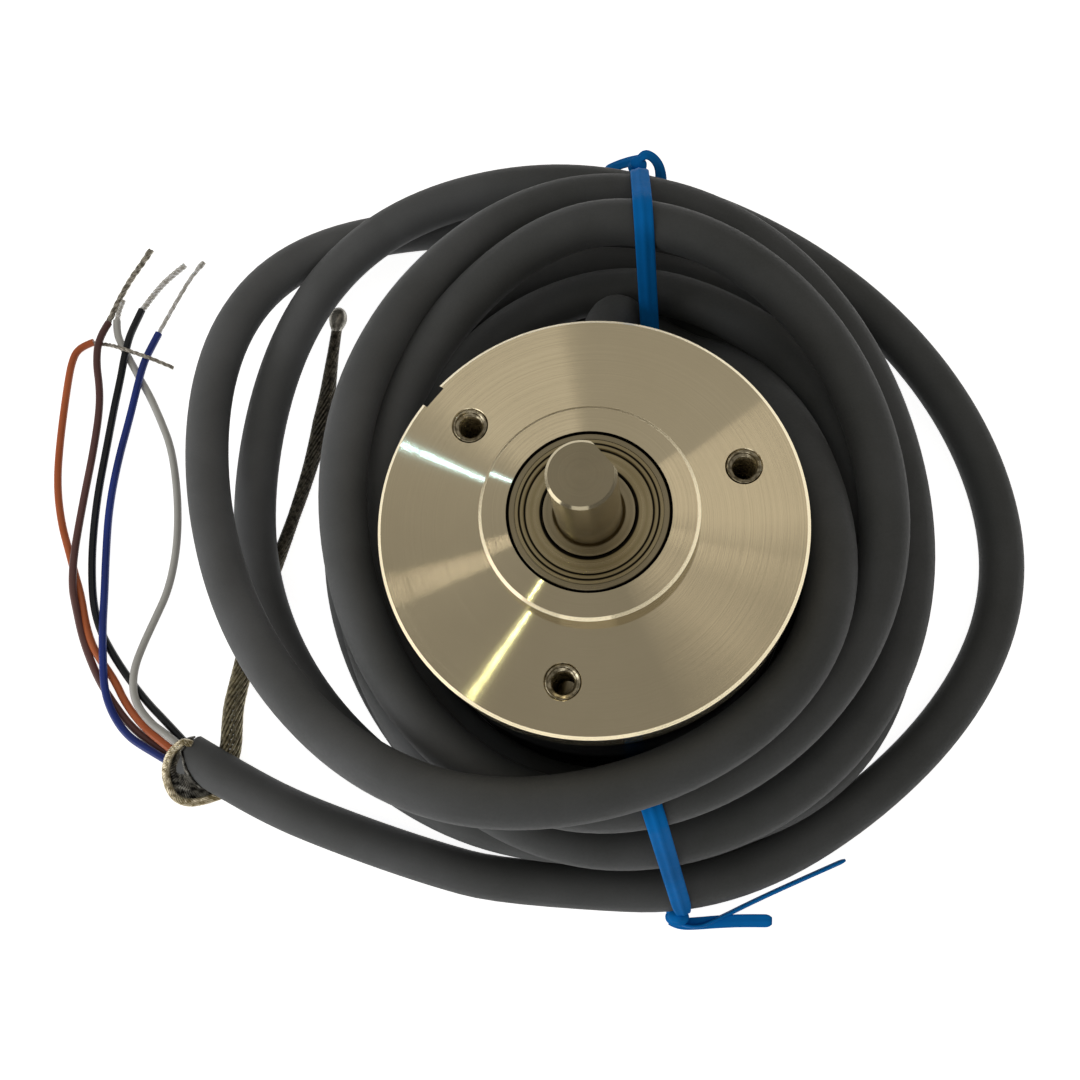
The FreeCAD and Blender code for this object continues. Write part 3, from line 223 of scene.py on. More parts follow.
# Finishes by the record's slots; marks finer than a pixel are drawn as coarse as they need to show
# turnedMetal's numbers: roughness, spacing of the marks in mm, their slope, spread of the light, mean lean
# mouldedPlastic's and drawnWire's: roughness, grain in mm, relief in mm, then sheen or metallic
finishes = {
    # turned aluminium, warm in the room's light, bright wedges from the tool marks
    "turned_aluminium": turnedMetal("turnedAluminium", "#e6d9b8", "#e0d3b2", 0.12, 0.02, 0.2, 1.0, 0.24),
    # ground steel shaft, close to a mirror with faint grinding lines
    "shaft_steel": turnedMetal("groundSteelShaft", "#b5aa8e", "#aca186", 0.2, 0.04, 0.06, 0.8),
    # hardened bearing steel, ground rings that read darker than the aluminium, with painted shade in the
    # outer seam
    "bearing_steel": turnedMetal(
        "groundBearingSteel", "#b1a588", "#9f9478", 0.25, 0.05, 0.1, 0.6, 0.0, [(7.37, 0.2)],
    ),
    # pressed steel shield, slightly brassy and duller than the rings, with painted shade along its creases
    "shield_steel": turnedMetal(
        "pressedShieldSteel", "#bcae8a", "#a89a75", 0.28, 0.06, 0.1, 0.5, 0.0,
        [(6.3, 0.13), (5.8, 0.13), (4.36, 0.16)],
    ),
    # hardened spring steel, a cool grey that is darker than the ground rings
    "spring_steel": turnedMetal("springSteel", "#8d8f92", "#6c6e71", 0.3, 0.08, 0.1, 0.3),
    # turned aluminium tubes and posts, paler and duller than the flange
    "spacer_aluminium": turnedMetal("spacerAluminium", "#d6d4cf", "#bfbdb8", 0.28, 0.08, 0.15, 0.4),
    # turned brass, yellow with soft wedges of light
    "brass": turnedMetal("turnedBrass", "#d9b469", "#b7924c", 0.24, 0.07, 0.15, 0.4),
    # zinc-plated steel, cool and slightly dull
    "screw_steel": turnedMetal("zincPlatedScrew", "#c3c6c9", "#a0a3a7", 0.3, 0.08, 0.1, 0.3),
    # tin over copper, bright and blotched
    "tinned_copper": drawnWire("tinnedCopper", "#d8cfb6", "#8b7c5e", 0.3, 0.5, 0.04),
    # float glass, clear with a hint of green
    "disc_glass": clearGlass("discGlass", "#eef7f1"),
    # black anodised cover, satin
    "black_cover": mouldedPlastic("blackAnodisedCover", "#0e0f0f", "#090a0a", 0.38, 0.15, 0.01),
    # green solder mask on the board, smooth and half glossy
    "board_green": mouldedPlastic("greenSolderMask", "#17653a", "#0f4b2a", 0.35, 0.4, 0.01),
    # black moulded housings of the board's parts, dull with a fine grain
    "black_plastic": mouldedPlastic("blackPlastic", "#17181a", "#0f1011", 0.45, 0.2, 0.01),
    # cast resin of the detector, dark red-brown and glossy
    "detector_resin": mouldedPlastic("darkDetectorResin", "#2c2326", "#1c1618", 0.25, 0.4, 0.005),
    # cast resin of the emitter, pale and glossy
    "emitter_resin": mouldedPlastic("paleEmitterResin", "#d7d8cf", "#c4c5bb", 0.25, 0.4, 0.005),
    # cream nylon of the wire header, satin
    "header_plastic": mouldedPlastic("creamHeaderPlastic", "#e2dac5", "#d3cab3", 0.45, 0.2, 0.01),
    # moulded rubber of the gland and the seal, dull black
    "black_rubber": mouldedPlastic("blackRubber", "#1d1e1e", "#151616", 0.7, 0.2, 0.02),
    # dull dark grey polyurethane jacket with a fine grain, painted paler towards the west: painted light on
    # the outer turns there
    "cable_jacket": mouldedPlastic(
        "greyCableJacket", "#505253", "#474949", 0.66, 0.3, 0.03, 0.04,
        far=("X", "#6b6d6f", "#606263", -2, -36),
    ),
    # vinyl on the short leads inside, pale grey and satin
    "lead_insulation": mouldedPlastic("leadInsulation", "#b9b4a8", "#a7a297", 0.4, 0.3, 0.01),
    # glossy vinyl insulation of the cores
    "orange_insulation": mouldedPlastic("orangeVinyl", "#e07a48", "#cc6838", 0.36, 0.4, 0.008),
    "brown_insulation": mouldedPlastic("brownVinyl", "#7a5450", "#664441", 0.4, 0.4, 0.008),
    "black_insulation": mouldedPlastic("blackVinyl", "#1c2126", "#12161a", 0.34, 0.4, 0.008),
    "blue_insulation": mouldedPlastic("blueVinyl", "#2741a0", "#1e3588", 0.36, 0.4, 0.008),
    "white_insulation": mouldedPlastic("whiteVinyl", "#e0e0dc", "#cfcfca", 0.36, 0.4, 0.008),
    # smooth blue polyethylene ribbon with a soft gloss
    "blue_tie": mouldedPlastic("blueRibbonPlastic", "#1389e6", "#1079cd", 0.55, 0.5, 0.01, gloss=0.03),
}
details = {
    # thread cut in the aluminium: dull grey flanks that go dark down the hole
    "cutThread": drawnWire("cutThread", "#d2c7ab", "#847a64", 0.3, 0.4, 0.01),
    # bright tin on the twisted tips, a dull one, and one that was dipped too hot
    "tinnedTip": drawnWire("tinnedTip", "#ffffff", "#c9c5bb", 0.2, 0.4, 0.03, 0.3),
    "dullTip": drawnWire("dullTip", "#c2bcb0", "#8d867b", 0.4, 0.5, 0.03, 0.6),
    "burntTip": drawnWire("burntTip", "#cfc9bb", "#6f695c", 0.35, 0.5, 0.04, 0.5),
    # braid wires, bright tin worn through to warm copper, and the same wires darker within the cup, as
    # painted shade
    "shieldBraid": drawnWire("shieldBraid", "#fff3d6", "#8f8059", 0.26, 0.6, 0.03, 0.6),
    "paintedShadeCupBraid": drawnWire("paintedShadeCupBraid", "#85837c", "#232220", 0.4, 0.7, 0.03),
    # twisted shield: khaki braid that is soaked with flux and solder further up, and its drop of solder
    "fluxedShield": drawnWire(
        "fluxedShield", "#aaa184", "#6b6350", 0.34, 0.5, 0.04, 0.8, ("Y", "#6b665a", "#322f29", -8, 8),
    ),
    "solderDrop": drawnWire("solderDrop", "#d8d4c8", "#7a766b", 0.3, 1.0, 0.05, 0.5),
}
for row in frame["record"]["subparts"]:
    node = frame["nodes"][row["node"]]
    node.data.materials.clear()
    node.data.materials.append(finishes[row["material_slot"]])
print("finishes:", len(finishes))


# Surfaces from grids of points
def addSurface(name, grid, slot, wrapRows=False, finish=None):
    # a grid [sheets, rows, columns, xyz] in mm becomes quads between neighbours; the last column joins
    # the first, and with wrapRows the last row too; points that fall together are merged, faces turn outwards
    grid = np.asarray(grid, float)
    grid = grid[None] if grid.ndim == 3 else grid
    number = np.arange(grid[..., 0].size).reshape(grid.shape[:3])
    if wrapRows:
        number = np.concatenate([number, number[:, :1]], 1)
    number = np.concatenate([number, number[:, :, :1]], 2)
    corners = (number[:, :-1, :-1], number[:, :-1, 1:], number[:, 1:, 1:], number[:, 1:, :-1])
    quads = np.stack(corners, -1).reshape(-1, 4)
    mesh = bpy.data.meshes.new(name)
    mesh.from_pydata((grid.reshape(-1, 3) * mm).tolist(), [], quads.tolist())
    work = bmesh.new()
    work.from_mesh(mesh)
    bmesh.ops.remove_doubles(work, verts=work.verts, dist=2e-7)
    bmesh.ops.recalc_face_normals(work, faces=work.faces)
    work.to_mesh(mesh)
    work.free()
    mesh.polygons.foreach_set("use_smooth", np.ones(len(mesh.polygons), bool))
    piece = bpy.data.objects.new(name, mesh)
    scene.collection.objects.link(piece)
    mesh.materials.append(finish or finishes[slot])
    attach(piece, "housing")
    return piece


def alongAxes(lines, side):
    # tangent by differences along the line; across = side made square to it, normal = tangent x across
    tangent = np.gradient(lines, axis=-2)
    tangent /= np.linalg.norm(tangent, axis=-1, keepdims=True)
    side = np.broadcast_to(np.asarray(side, float), lines.shape)
    across = side - (side * tangent).sum(-1, keepdims=True) * tangent
    across /= np.linalg.norm(across, axis=-1, keepdims=True)
    return across, np.cross(tangent, across)


def carry(lines, profile, side, scale=1.0, closed=False):
    # a closed profile of (across, normal) pairs carried along each line; open ends close to a point
    lines = lines[None] if lines.ndim == 2 else lines
    scale = np.broadcast_to(scale, lines.shape[:2])[..., None, None]
    looped = np.concatenate([lines[:, -1:], lines, lines[:, :1]], 1) if closed else lines
    across, normal = alongAxes(looped, side)
    if closed:
        across, normal = across[:, 1:-1], normal[:, 1:-1]
    section = profile[:, :1] * across[:, :, None] + profile[:, 1:] * normal[:, :, None]
    grid = lines[:, :, None] + scale * section
    if closed:
        return grid
    ends = np.broadcast_to(lines[:, (0, -1), None], (len(lines), 2, len(profile), 3))
    return np.concatenate([ends[:, :1], grid, ends[:, 1:]], 1)


def roundProfile(radius, sides):
    # points on a circle: radius x (cos, sin) at equal angles
    angle = np.linspace(0, 2 * np.pi, sides, endpoint=False)
    return radius * np.column_stack([np.cos(angle), np.sin(angle)])


def ribbonProfile(width, thickness, rib, ribShare=0.24, steps=15):
    # flat ribbon with a rib along its middle, t from edge to edge: half height = half thickness
    # x square root of 1 - t^6, which rounds the edges, + rib x exp(-(t / ribShare)^2)
    t = np.cos(np.linspace(np.pi, 0, steps))
    half = thickness / 2 * np.sqrt(np.clip(1 - t ** 6, 0, 1)) + rib * np.exp(-(t / ribShare) ** 2)
    upper = np.column_stack([t * width / 2, half])
    lower = np.column_stack([t[::-1] * width / 2, -half[::-1]])
    return np.concatenate([upper, lower[1:-1]])


def evenSteps(line, step):
    # points at equal distances along a line, by interpolation on its length
    reach = np.r_[0, np.cumsum(np.linalg.norm(np.diff(line, axis=0), axis=1))]
    at = np.linspace(0, reach[-1], max(3, int(round(reach[-1] / step)) + 1))
    return np.column_stack([np.interp(at, reach, line[:, k]) for k in range(3)])


# Cords: NURBS splines on the routes of the solids
def addSpline(name, points, fineness, diameter=0.0):
    # a smooth spline whose control points are the route's points, with a round section of the diameter
    curve = bpy.data.curves.new(name, "CURVE")
    curve.dimensions, curve.resolution_u = "3D", fineness
    curve.bevel_depth, curve.bevel_resolution, curve.use_fill_caps = diameter / 2 * mm, 7, diameter > 0
    spline = curve.splines.new("NURBS")
    points = np.asarray(points, float) * mm
    spline.points.add(len(points) - 1)
    spline.points.foreach_set("co", np.column_stack([points, np.ones(len(points))]).ravel())
    spline.order_u = 3
    spline.use_endpoint_u = True
    return bpy.data.objects.new(name, curve)


def smoothLine(points, fineness=8):
    # the route's spline read back as points, in mm
    carrier = addSpline("line", points, fineness)
    mesh = bpy.data.meshes.new_from_object(carrier)
    line = np.empty(len(mesh.vertices) * 3)
    mesh.vertices.foreach_get("co", line)
    curve = carrier.data
    bpy.data.objects.remove(carrier)
    bpy.data.curves.remove(curve)
    bpy.data.meshes.remove(mesh)
    return line.reshape(-1, 3) / mm


def addCord(name, points, diameter, slot, fineness=6):
    # the route's spline as a piece on the housing, in its slot's finish
    cord = addSpline(name, points, fineness, diameter)
    scene.collection.objects.link(cord)
    cord.data.materials.append(finishes[slot])
    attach(cord, "housing")
    return cord


def lineLength(line):
    # the distances between neighbouring points, added up
    return float(np.linalg.norm(np.diff(line, axis=0), axis=1).sum())


# Cable: straight out of the gland, nine and a half loose turns round the housing, and a tail
cable = {
    "diameter": 5.0,
    "exit": [
        (0, 19.8, 18), (0, 23.9, 18), (0, 26.9, 18), (0.6, 29.4, 16.6), (1.6, 30.9, 14.3),
        (2.9, 30.9, 11.5), (5.8, 29.7, 9.6), (9.6, 27.3, 10),
    ],
    "tail": [
        (-13, -31.9, 2.5), (-19, -30.4, 2.5), (-25, -28.6, 2.5), (-31, -26.6, 2.5),
        (-37, -24.4, 2.5), (-42.8, -21.6, 2.5), (-49, -18.2, 2.5),
    ],
    # each turn's furthest points to the east, south, west and north, in the order the cable runs;
    # a fourth number is the fullness of the quarter turn that leads there
    "turns": [
        [(22.8, -2, 31, 0.6), (-8, -25.2, 31), (-47.5, 22.5, 9, 0.62), (-22, 48, 2.5, 0.93)],
        [(34.5, 6, 2.5), (0, -29, 2.5), (-31.6, 8, 2.5, 0.58), (0, 45, 2.5)],
        [(29, 5, 2.5), (0, -25.2, 2.5), (-26.8, 7, 2.5, 0.52), (0, 40, 2.5)],
        [(24, 5, 3), (0, -23, 7.5), (-23.5, 6, 5), (0, 34, 3)],
        [(23.5, 9, 14), (0, -23, 14), (-24, 8, 13), (0, 34, 12)],
        [(26.5, 6, 22), (0, -23.5, 19), (-23.5, 12, 22), (0, 37.8, 24, 0.46)],
        [(28.5, 3, 27), (0, -25.2, 24.5, 0.67), (-26.5, 8, 27), (0, 44, 18, 0.62)],
        [(32.8, 3, 16), (1, -28.5, 12, 0.75), (-27, 2, 17, 0.56), (0, 40, 8)],
        [(33, 5, 8), (-2, -27.8, 7, 1.08), (-42.9, 12.5, 3.5, 0.68), (-8, 50.2, 9, 0.96)],
        [(45.2, 5, 2.5, 0.64), (-2, -32.8, 2.5, 0.62)],
    ],
    "fullness": 0.72,  # how far another quarter turn bulges to its corner
    "spacing": 3.0,  # mm between the points that settle
    "housingRadius": 20.0,
    "housingGap": 0.15,
    "rounds": 400,
    "push": 0.25,  # share of an overlap that one round takes away
    "stiffness": 0.12,
    "pull": 0.02,  # share of the way back to its first place
}


def coilTurns(cable):
    # a quarter turn from extreme a to extreme b is a conic with its pole at the corner of their box:
    # (a (1-t)^2 + 2 w c t (1-t) + b t^2) / ((1-t)^2 + 2 w t (1-t) + t^2), with w its fullness;
    # the height eases from a to b
    stations = [cable["exit"][-1]] + [station for turn in cable["turns"] for station in turn]
    quarters = []
    for k, (start, stop) in enumerate(zip(stations, stations[1:])):
        w = stop[3] if len(stop) == 4 else cable["fullness"]
        a, b = np.array(start[:3], float), np.array(stop[:3], float)
        corner = np.array([b[0], a[1]] if k % 2 == 0 else [a[0], b[1]])
        arc = np.linalg.norm((b - a)[:2]) * 1.1  # about a tenth longer than its chord
        count = max(6, int(arc / cable["spacing"]))
        t = np.linspace(0, 1, count, endpoint=False)[:, None]
        fa, fc, fb = (1 - t) ** 2, 2 * w * t * (1 - t), t ** 2
        plan = (fa * a[:2] + fc * corner + fb * b[:2]) / (fa + fc + fb)
        quarters.append(np.column_stack([plan, a[2] + (b[2] - a[2]) * t * t * (3 - 2 * t)]))
    return np.vstack(quarters + [stations[-1][:3]])


def settleTurns(line, cable):
    # turns that press into each other move apart to a diameter, stiffness evens out their bends,
    # a weak pull keeps each near its place, and none sinks into the floor or the housing
    d, n = cable["diameter"], len(line)
    ends = np.vstack([line, cable["exit"][:-1], cable["tail"]])
    home, free = line.copy(), np.ones((n, 1))
    free[:2] = free[-2:] = 0
    # places along the cable; points closer along it than skip don't press on each other
    number = np.r_[np.arange(n), np.arange(-len(cable["exit"]) + 1, 0), n + np.arange(len(cable["tail"])) * 2]
    skip = int(d * 2.2 / cable["spacing"]) + 1
    for step in range(cable["rounds"]):
        ends[:n] = line
        if step % 8 == 0:  # the pairs of near points are found anew every eighth round
            apart = ((line[:, None] - ends) ** 2).sum(-1)
            one, other = np.nonzero((apart < (1.7 * d) ** 2) & (abs(number[:n, None] - number) > skip))
        gap = line[one] - ends[other]
        reach = np.linalg.norm(gap, axis=1, keepdims=True) + 1e-6
        press = np.clip(d - reach, 0, None)
        move, touching = np.zeros_like(line), np.zeros((n, 1))
        np.add.at(move, one, cable["push"] * press * gap / reach)
        np.add.at(touching, one, press > 0)
        line = line + free * move / np.maximum(1, 0.6 * touching)  # less for each where many touch
        bend = np.zeros_like(line)
        bend[1:-1] = (line[:-2] + line[2:]) / 2 - line[1:-1]
        ease = np.zeros_like(line)
        ease[2:-2] = cable["stiffness"] * (2 * bend[2:-2] - bend[:-4] - bend[4:])
        line = line + free * (ease + cable["pull"] * (home - line))
        line[:, 2] = np.maximum(line[:, 2], d / 2)
        out = np.hypot(line[:, 0], line[:, 1])
        least = cable["housingRadius"] + d / 2 + cable["housingGap"]
        line[:, :2] *= np.maximum(1, least / out)[:, None]
    return line


cableTurns = settleTurns(coilTurns(cable), cable)
cableRoute = np.vstack([cable["exit"][:-1], cableTurns[::2], cable["tail"]])  # every second settled point
cablePiece = addCord("cable", cableRoute, cable["diameter"], "cable_jacket", 4)
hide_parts("cable_exit", "cable_coil", "cable_tail")
cableLine = smoothLine(cableRoute, 4)
print("cable:", round(lineLength(cableLine)), "mm")


# Five stripped cores that leave the jacket's end, each with a bared and tinned tip
cores = {
    "diameter": 0.95,
    "tipStrands": 3,
    "tipStep": 0.12,  # mm between the points along a tip
    "tipHold": 0.3,  # mm that a tip reaches back into its core
    "dropPlace": 0.6,  # mm from the end of a tip to the middle of its drop of solder
    "orange": [
        (-48.6, -19.4, 2.9), (-53.2, -16.3, 2.2), (-55.7, -14.5, 1.1), (-58.2, -11.8, 0.48),
        (-59.7, -9.1, 0.48), (-62.5, -5.7, 0.48), (-63.85, -2.7, 0.48), (-64.9, 1.3, 0.48),
        (-65.9, 3.9, 0.48), (-67, 6.9, 0.48), (-68.4, 10.7, 0.48), (-69.4, 15.5, 0.48),
        (-69.6, 20.8, 0.48), (-69.4, 27.9, 0.48), (-69.1, 32.2, 0.48), (-68.2, 34, 0.48),
        (-66.4, 34.6, 0.48),
    ],
    "brown": [
        (-48.7, -19.7, 1.5), (-54.6, -16.6, 1), (-57.5, -14.4, 0.48), (-59.7, -11.8, 0.48),
        (-61.4, -9.5, 0.48), (-62.7, -7.2, 0.48), (-64.2, -4, 0.5), (-65.2, -0.2, 1), (-65.7, 2.1, 1.46),
        (-65.9, 5.4, 1.46), (-66.1, 9, 0.6), (-65.7, 14.2, 0.48), (-65.1, 19.8, 0.48),
        (-64.8, 25.1, 0.48), (-65, 28.3, 0.6), (-65.4, 31.4, 1.46), (-65.4, 34.8, 1.46),
        (-64.6, 37.1, 0.7),
    ],
    "black": [
        (-48.1, -18.4, 2), (-52.7, -14.1, 1.46), (-55.4, -11.8, 0.6), (-58, -8.9, 0.48),
        (-60.2, -6, 0.48), (-62, -3.2, 0.48), (-63.2, 0, 0.48), (-63.8, 3.9, 0.48), (-64.1, 8.4, 0.48),
        (-64, 14.2, 0.48), (-63.4, 20.3, 0.48), (-62.9, 25.6, 0.48), (-62.2, 29.7, 0.9),
        (-61.8, 31.7, 1.46), (-61.4, 34.6, 1.46), (-61.1, 36.6, 0.8), (-60.4, 38.9, 0.48),
    ],
    "blue": [
        (-49, -20.3, 2.3), (-54.5, -17.5, 1.8), (-57.3, -15.8, 1.46), (-59.3, -13.2, 1.46),
        (-60.5, -10.4, 1.46), (-61, -6.8, 1.46), (-61.4, -2.9, 1.46), (-61.9, 1.6, 0.6),
        (-62.2, 5.8, 0.48), (-62.4, 12.2, 0.48), (-61.8, 18.4, 0.48), (-60.7, 24.4, 0.5),
        (-59.8, 27.5, 1.46), (-59.2, 31.1, 1.46), (-58.6, 33.6, 0.8), (-57.9, 35.6, 0.48),
    ],
    "white": [
        (-48.2, -18.6, 3.1), (-52, -15.8, 2.6), (-54, -14.7, 1.8), (-56.1, -12.6, 1.46),
        (-57, -10.4, 1.46), (-57, -7.7, 1.46), (-56.4, -4.6, 0.6), (-55.2, -1.4, 0.48), (-54, 1.7, 0.48),
        (-53.4, 5.5, 0.48), (-53.3, 9.6, 0.48), (-53.8, 14.7, 0.48), (-55, 20.2, 0.48),
        (-56.7, 23.9, 0.48), (-58.4, 27.2, 0.48), (-59.7, 29.2, 0.48), (-61.2, 31.7, 0.48),
        (-62.6, 34, 0.48), (-63.5, 35.8, 0.48), (-63.6, 37.5, 0.48),
    ],
}
tips = {
    "orange": {
        "route": [
            (-64.9, 34.2, 0.7), (-62.8, 33.3, 2.2), (-60.6, 32.5, 2.2),
            (-58.5, 31.8, 2), (-56.9, 31.3, 1.2), (-55.6, 30.9, 0.4),
        ],
        "radius": 0.15, "ring": 0.12, "pitch": 2.6, "swell": 0.0, "finish": "dullTip",
    },
    "brown": {
        "route": [
            (-64.2, 38.6, 0.5), (-63.3, 41.1, 0.4), (-62.2, 43.4, 0.4),
            (-60.9, 45.5, 0.4), (-59.9, 47.3, 0.4),
        ],
        "radius": 0.22, "ring": 0.17, "pitch": 3.4, "swell": 0.2, "finish": "burntTip",
    },
    "black": {
        "route": [(-58.9, 41.2, 0.4), (-57.4, 43.1, 0.4), (-55.2, 45, 0.4)],
        "radius": 0.21, "ring": 0.2, "pitch": 1.7, "swell": 0.0, "finish": "tinnedTip",
    },
    "blue": {
        "route": [(-56.9, 37.9, 0.4), (-55.7, 40.4, 0.4), (-54.1, 43.6, 0.4), (-52.7, 45.4, 0.4)],
        "radius": 0.19, "ring": 0.1, "pitch": 4.0, "swell": 0.6, "finish": "tinnedTip",
    },
    "white": {
        "route": [(-63.5, 38.5, 0.4), (-63.3, 39.5, 0.4), (-63, 40.3, 0.4)],
        "radius": 0.2, "ring": 0.15, "pitch": 1.6, "swell": 0.0, "finish": "tinnedTip",
    },
}


def lying(lines):
    # the level direction square to each line: its tangent x up
    return np.cross(np.gradient(lines, axis=-2), [0, 0, 1])


def windStrands(line, count, ring, pitch):
    # strand k runs on a circle round the line at the angle 2 pi (k / count + length / pitch)
    reach = np.r_[0, np.cumsum(np.linalg.norm(np.diff(line, axis=0), axis=1))]
    across, normal = alongAxes(line, lying(line))
    angle = 2 * np.pi * (np.arange(count)[:, None] / count + reach / pitch)
    return line + ring * (np.cos(angle)[..., None] * across + np.sin(angle)[..., None] * normal)


for colour, tip in tips.items():
    core = addCord("wire_" + colour, cores[colour], cores["diameter"], colour + "_insulation")
    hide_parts("core_" + colour)
    coreLine = smoothLine(cores[colour])
    heading = coreLine[-1] - coreLine[-2]
    start = coreLine[-1] - cores["tipHold"] * heading / np.linalg.norm(heading)
    bare = evenSteps(smoothLine(np.vstack([start, tip["route"]])), cores["tipStep"])
    strands = windStrands(bare, cores["tipStrands"], tip["ring"], tip["pitch"])
    fromEnd = np.arange(len(bare))[::-1] * cores["tipStep"]
    # the drop of solder: 1 + swell x exp(-((distance from the end - place) / place)^2)
    thick = 1 + tip["swell"] * np.exp(-((fromEnd - cores["dropPlace"]) / cores["dropPlace"]) ** 2)
    tipGrid = carry(strands, roundProfile(tip["radius"], 7), lying(strands), thick)
    tipPiece = addSurface("tip_" + colour, tipGrid, "tinned_copper", finish=details[tip["finish"]])
    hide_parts("core_tips")
print("cores and tips made")


# Shield wires twisted into a drain, with a soldered end
drain = {
    "route": [
        (-45.2, -20.4, 1.5), (-44.6, -18.4, 1.5), (-44.4, -16.6, 1.5), (-44.5, -14.6, 1.4),
        (-44.5, -12.2, 1.3), (-44.0, -9.4, 1.2), (-43.2, -4.2, 1), (-41.3, 2.4, 1), (-39, 9.6, 1),
        (-36.8, 17.4, 1.1), (-35.3, 25.4, 1.1), (-34.9, 31.6, 1), (-34.5, 35.6, 1),
    ],
    "diameter": 1.9,
    "strands": 14,
    "strandRadius": 0.2,
    "ring": 0.76,
    # shares of the length and of the ring there
    "fullness": (
        [0, 0.1, 0.25, 0.42, 0.56, 0.68, 0.78, 0.86, 0.94, 1],
        [1.5, 1.4, 1.25, 0.95, 0.75, 0.95, 1.25, 1, 0.7, 0.6],
    ),
    "pitch": 16.0,
    "step": 0.35,  # mm between the points along a strand
    "beadRadius": 1.15,
    "beadLength": 3.7,
    "beadHold": 0.3,  # share of the bead that covers the strands
    "beadLift": 0.2,
    "beadRows": 25,
}
drainLine = evenSteps(smoothLine(drain["route"]), drain["step"])
drainRing = drain["ring"] * np.interp(np.linspace(0, 1, len(drainLine)), *drain["fullness"])[:, None]
drainStrands = windStrands(drainLine, drain["strands"], drainRing, drain["pitch"])
drainGrid = carry(drainStrands, roundProfile(drain["strandRadius"], 9), lying(drainStrands))
drainPiece = addSurface("shield_drain_strands", drainGrid, "tinned_copper", finish=details["fluxedShield"])
beadHeading = (drainLine[-1] - drainLine[-3]) / np.linalg.norm(drainLine[-1] - drainLine[-3])
beadAlong = np.linspace(-drain["beadHold"], 1 - drain["beadHold"], drain["beadRows"])[:, None]
beadLine = drainLine[-1] + beadAlong * drain["beadLength"] * beadHeading + np.array([0, 0, drain["beadLift"]])
# a drop that is fuller at its end: the square root of sin(pi s^1.5), s from end to end
beadShare = np.linspace(0.02, 0.98, drain["beadRows"])
beadShape = np.sqrt(np.clip(np.sin(beadShare ** 1.5 * np.pi), 0, 1))
beadGrid = carry(beadLine, roundProfile(drain["beadRadius"], 16), (1, 0, 0), beadShape)
beadPiece = addSurface("drain_bead", beadGrid, "tinned_copper", finish=details["solderDrop"])
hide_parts("shield_drain")
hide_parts("shield_drain")
print("drain made")


# Shield braid at the jacket's end: a rolled rim pushed back off the cores, with an open cup to the south
cuff = {
    "roll": [
        (-48.2, -17.2, 4.4), (-48.9, -16.9, 4.8), (-49.7, -17.3, 4.7), (-51.0, -18.4, 4), (-51.7, -20.5, 2.9),
        (-51, -22.9, 1.9), (-49.2, -23.8, 1.6), (-46.6, -23.3, 1.4), (-45, -22.6, 1.3),
    ],
    "rollStrands": 9,
    "rollRing": 0.36,
    "wireRadius": 0.14,  # real wires are 0.1 mm across, drawn coarser so that the weave shows
    "rollPitch": 3.4,
    "rollStep": 0.15,  # mm between the points along a wire
    "cupWires": 40,
    "cupSteps": 24,
    "cupCross": 0.11,  # share of the roll that a wire moves along on its way out
    # the slit edge of the jacket: share of the way along it, degrees up from the south, mm beyond its end
    "slit": ([0, 0.35, 0.6, 1], [150, 95, 62, 14], [0.1, 0.2, -1.2, -3.6]),
    "slitRadius": 2.6,
    "bulge": 0.5,
    "sag": 0.9,
}


def cupWires(cuff, roll, end, heading):
    # wires in two crossing families from the jacket's slit edge to the roll:
    # (1 - v) edge(u) + v roll(u +- cross v), bulging outwards and down with sin(pi v)
    v = np.linspace(0, 1, cuff["cupSteps"])
    u = np.linspace(0.03, 0.97, cuff["cupWires"])[:, None]
    hand = np.array([1, -1])[:, None, None]
    at = np.clip(u + hand * cuff["cupCross"] * v, 0, 1)
    share = np.linspace(0, 1, len(roll))
    rim = np.stack([np.interp(at, share, roll[:, k]) for k in range(3)], -1)
    shares, degrees, beyond = cuff["slit"]
    angle = np.radians(np.interp(u, shares, degrees))[..., None]
    south, up = np.cross([0, 0, 1], heading), np.array([0, 0, 1])
    edge = end + np.interp(u, shares, beyond)[..., None] * heading
    edge = edge + cuff["slitRadius"] * (np.cos(angle) * south + np.sin(angle) * up)
    bulge = np.sin(np.pi * v)[:, None] * (cuff["bulge"] * heading - cuff["sag"] * up)
    lines = (1 - v[:, None]) * edge + v[:, None] * rim + bulge
    lines[..., 2] = np.maximum(lines[..., 2], cuff["wireRadius"])
    return lines.reshape(-1, len(v), 3)


jacketEnd = np.array(cable["tail"][-1])
jacketHeading = jacketEnd - np.array(cable["tail"][-2])
jacketHeading /= np.linalg.norm(jacketHeading)
rollLine = evenSteps(smoothLine(cuff["roll"]), cuff["rollStep"])
rollStrands = windStrands(rollLine, cuff["rollStrands"], cuff["rollRing"], cuff["rollPitch"])
rollGrid = carry(rollStrands, roundProfile(cuff["wireRadius"], 7), lying(rollStrands))
cuffPiece = addSurface("braid_roll", rollGrid, "tinned_copper", finish=details["shieldBraid"])
cupLines = cupWires(cuff, rollLine, jacketEnd, jacketHeading)
cupGrid = carry(cupLines, roundProfile(cuff["wireRadius"], 6), (0.3, 0.5, 0.8))  # no wire runs that way
cupPiece = addSurface("braid_cup", cupGrid, "tinned_copper", finish=details["paintedShadeCupBraid"])
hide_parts("shield_fold")
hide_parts("shield_fold")
print("braid made")


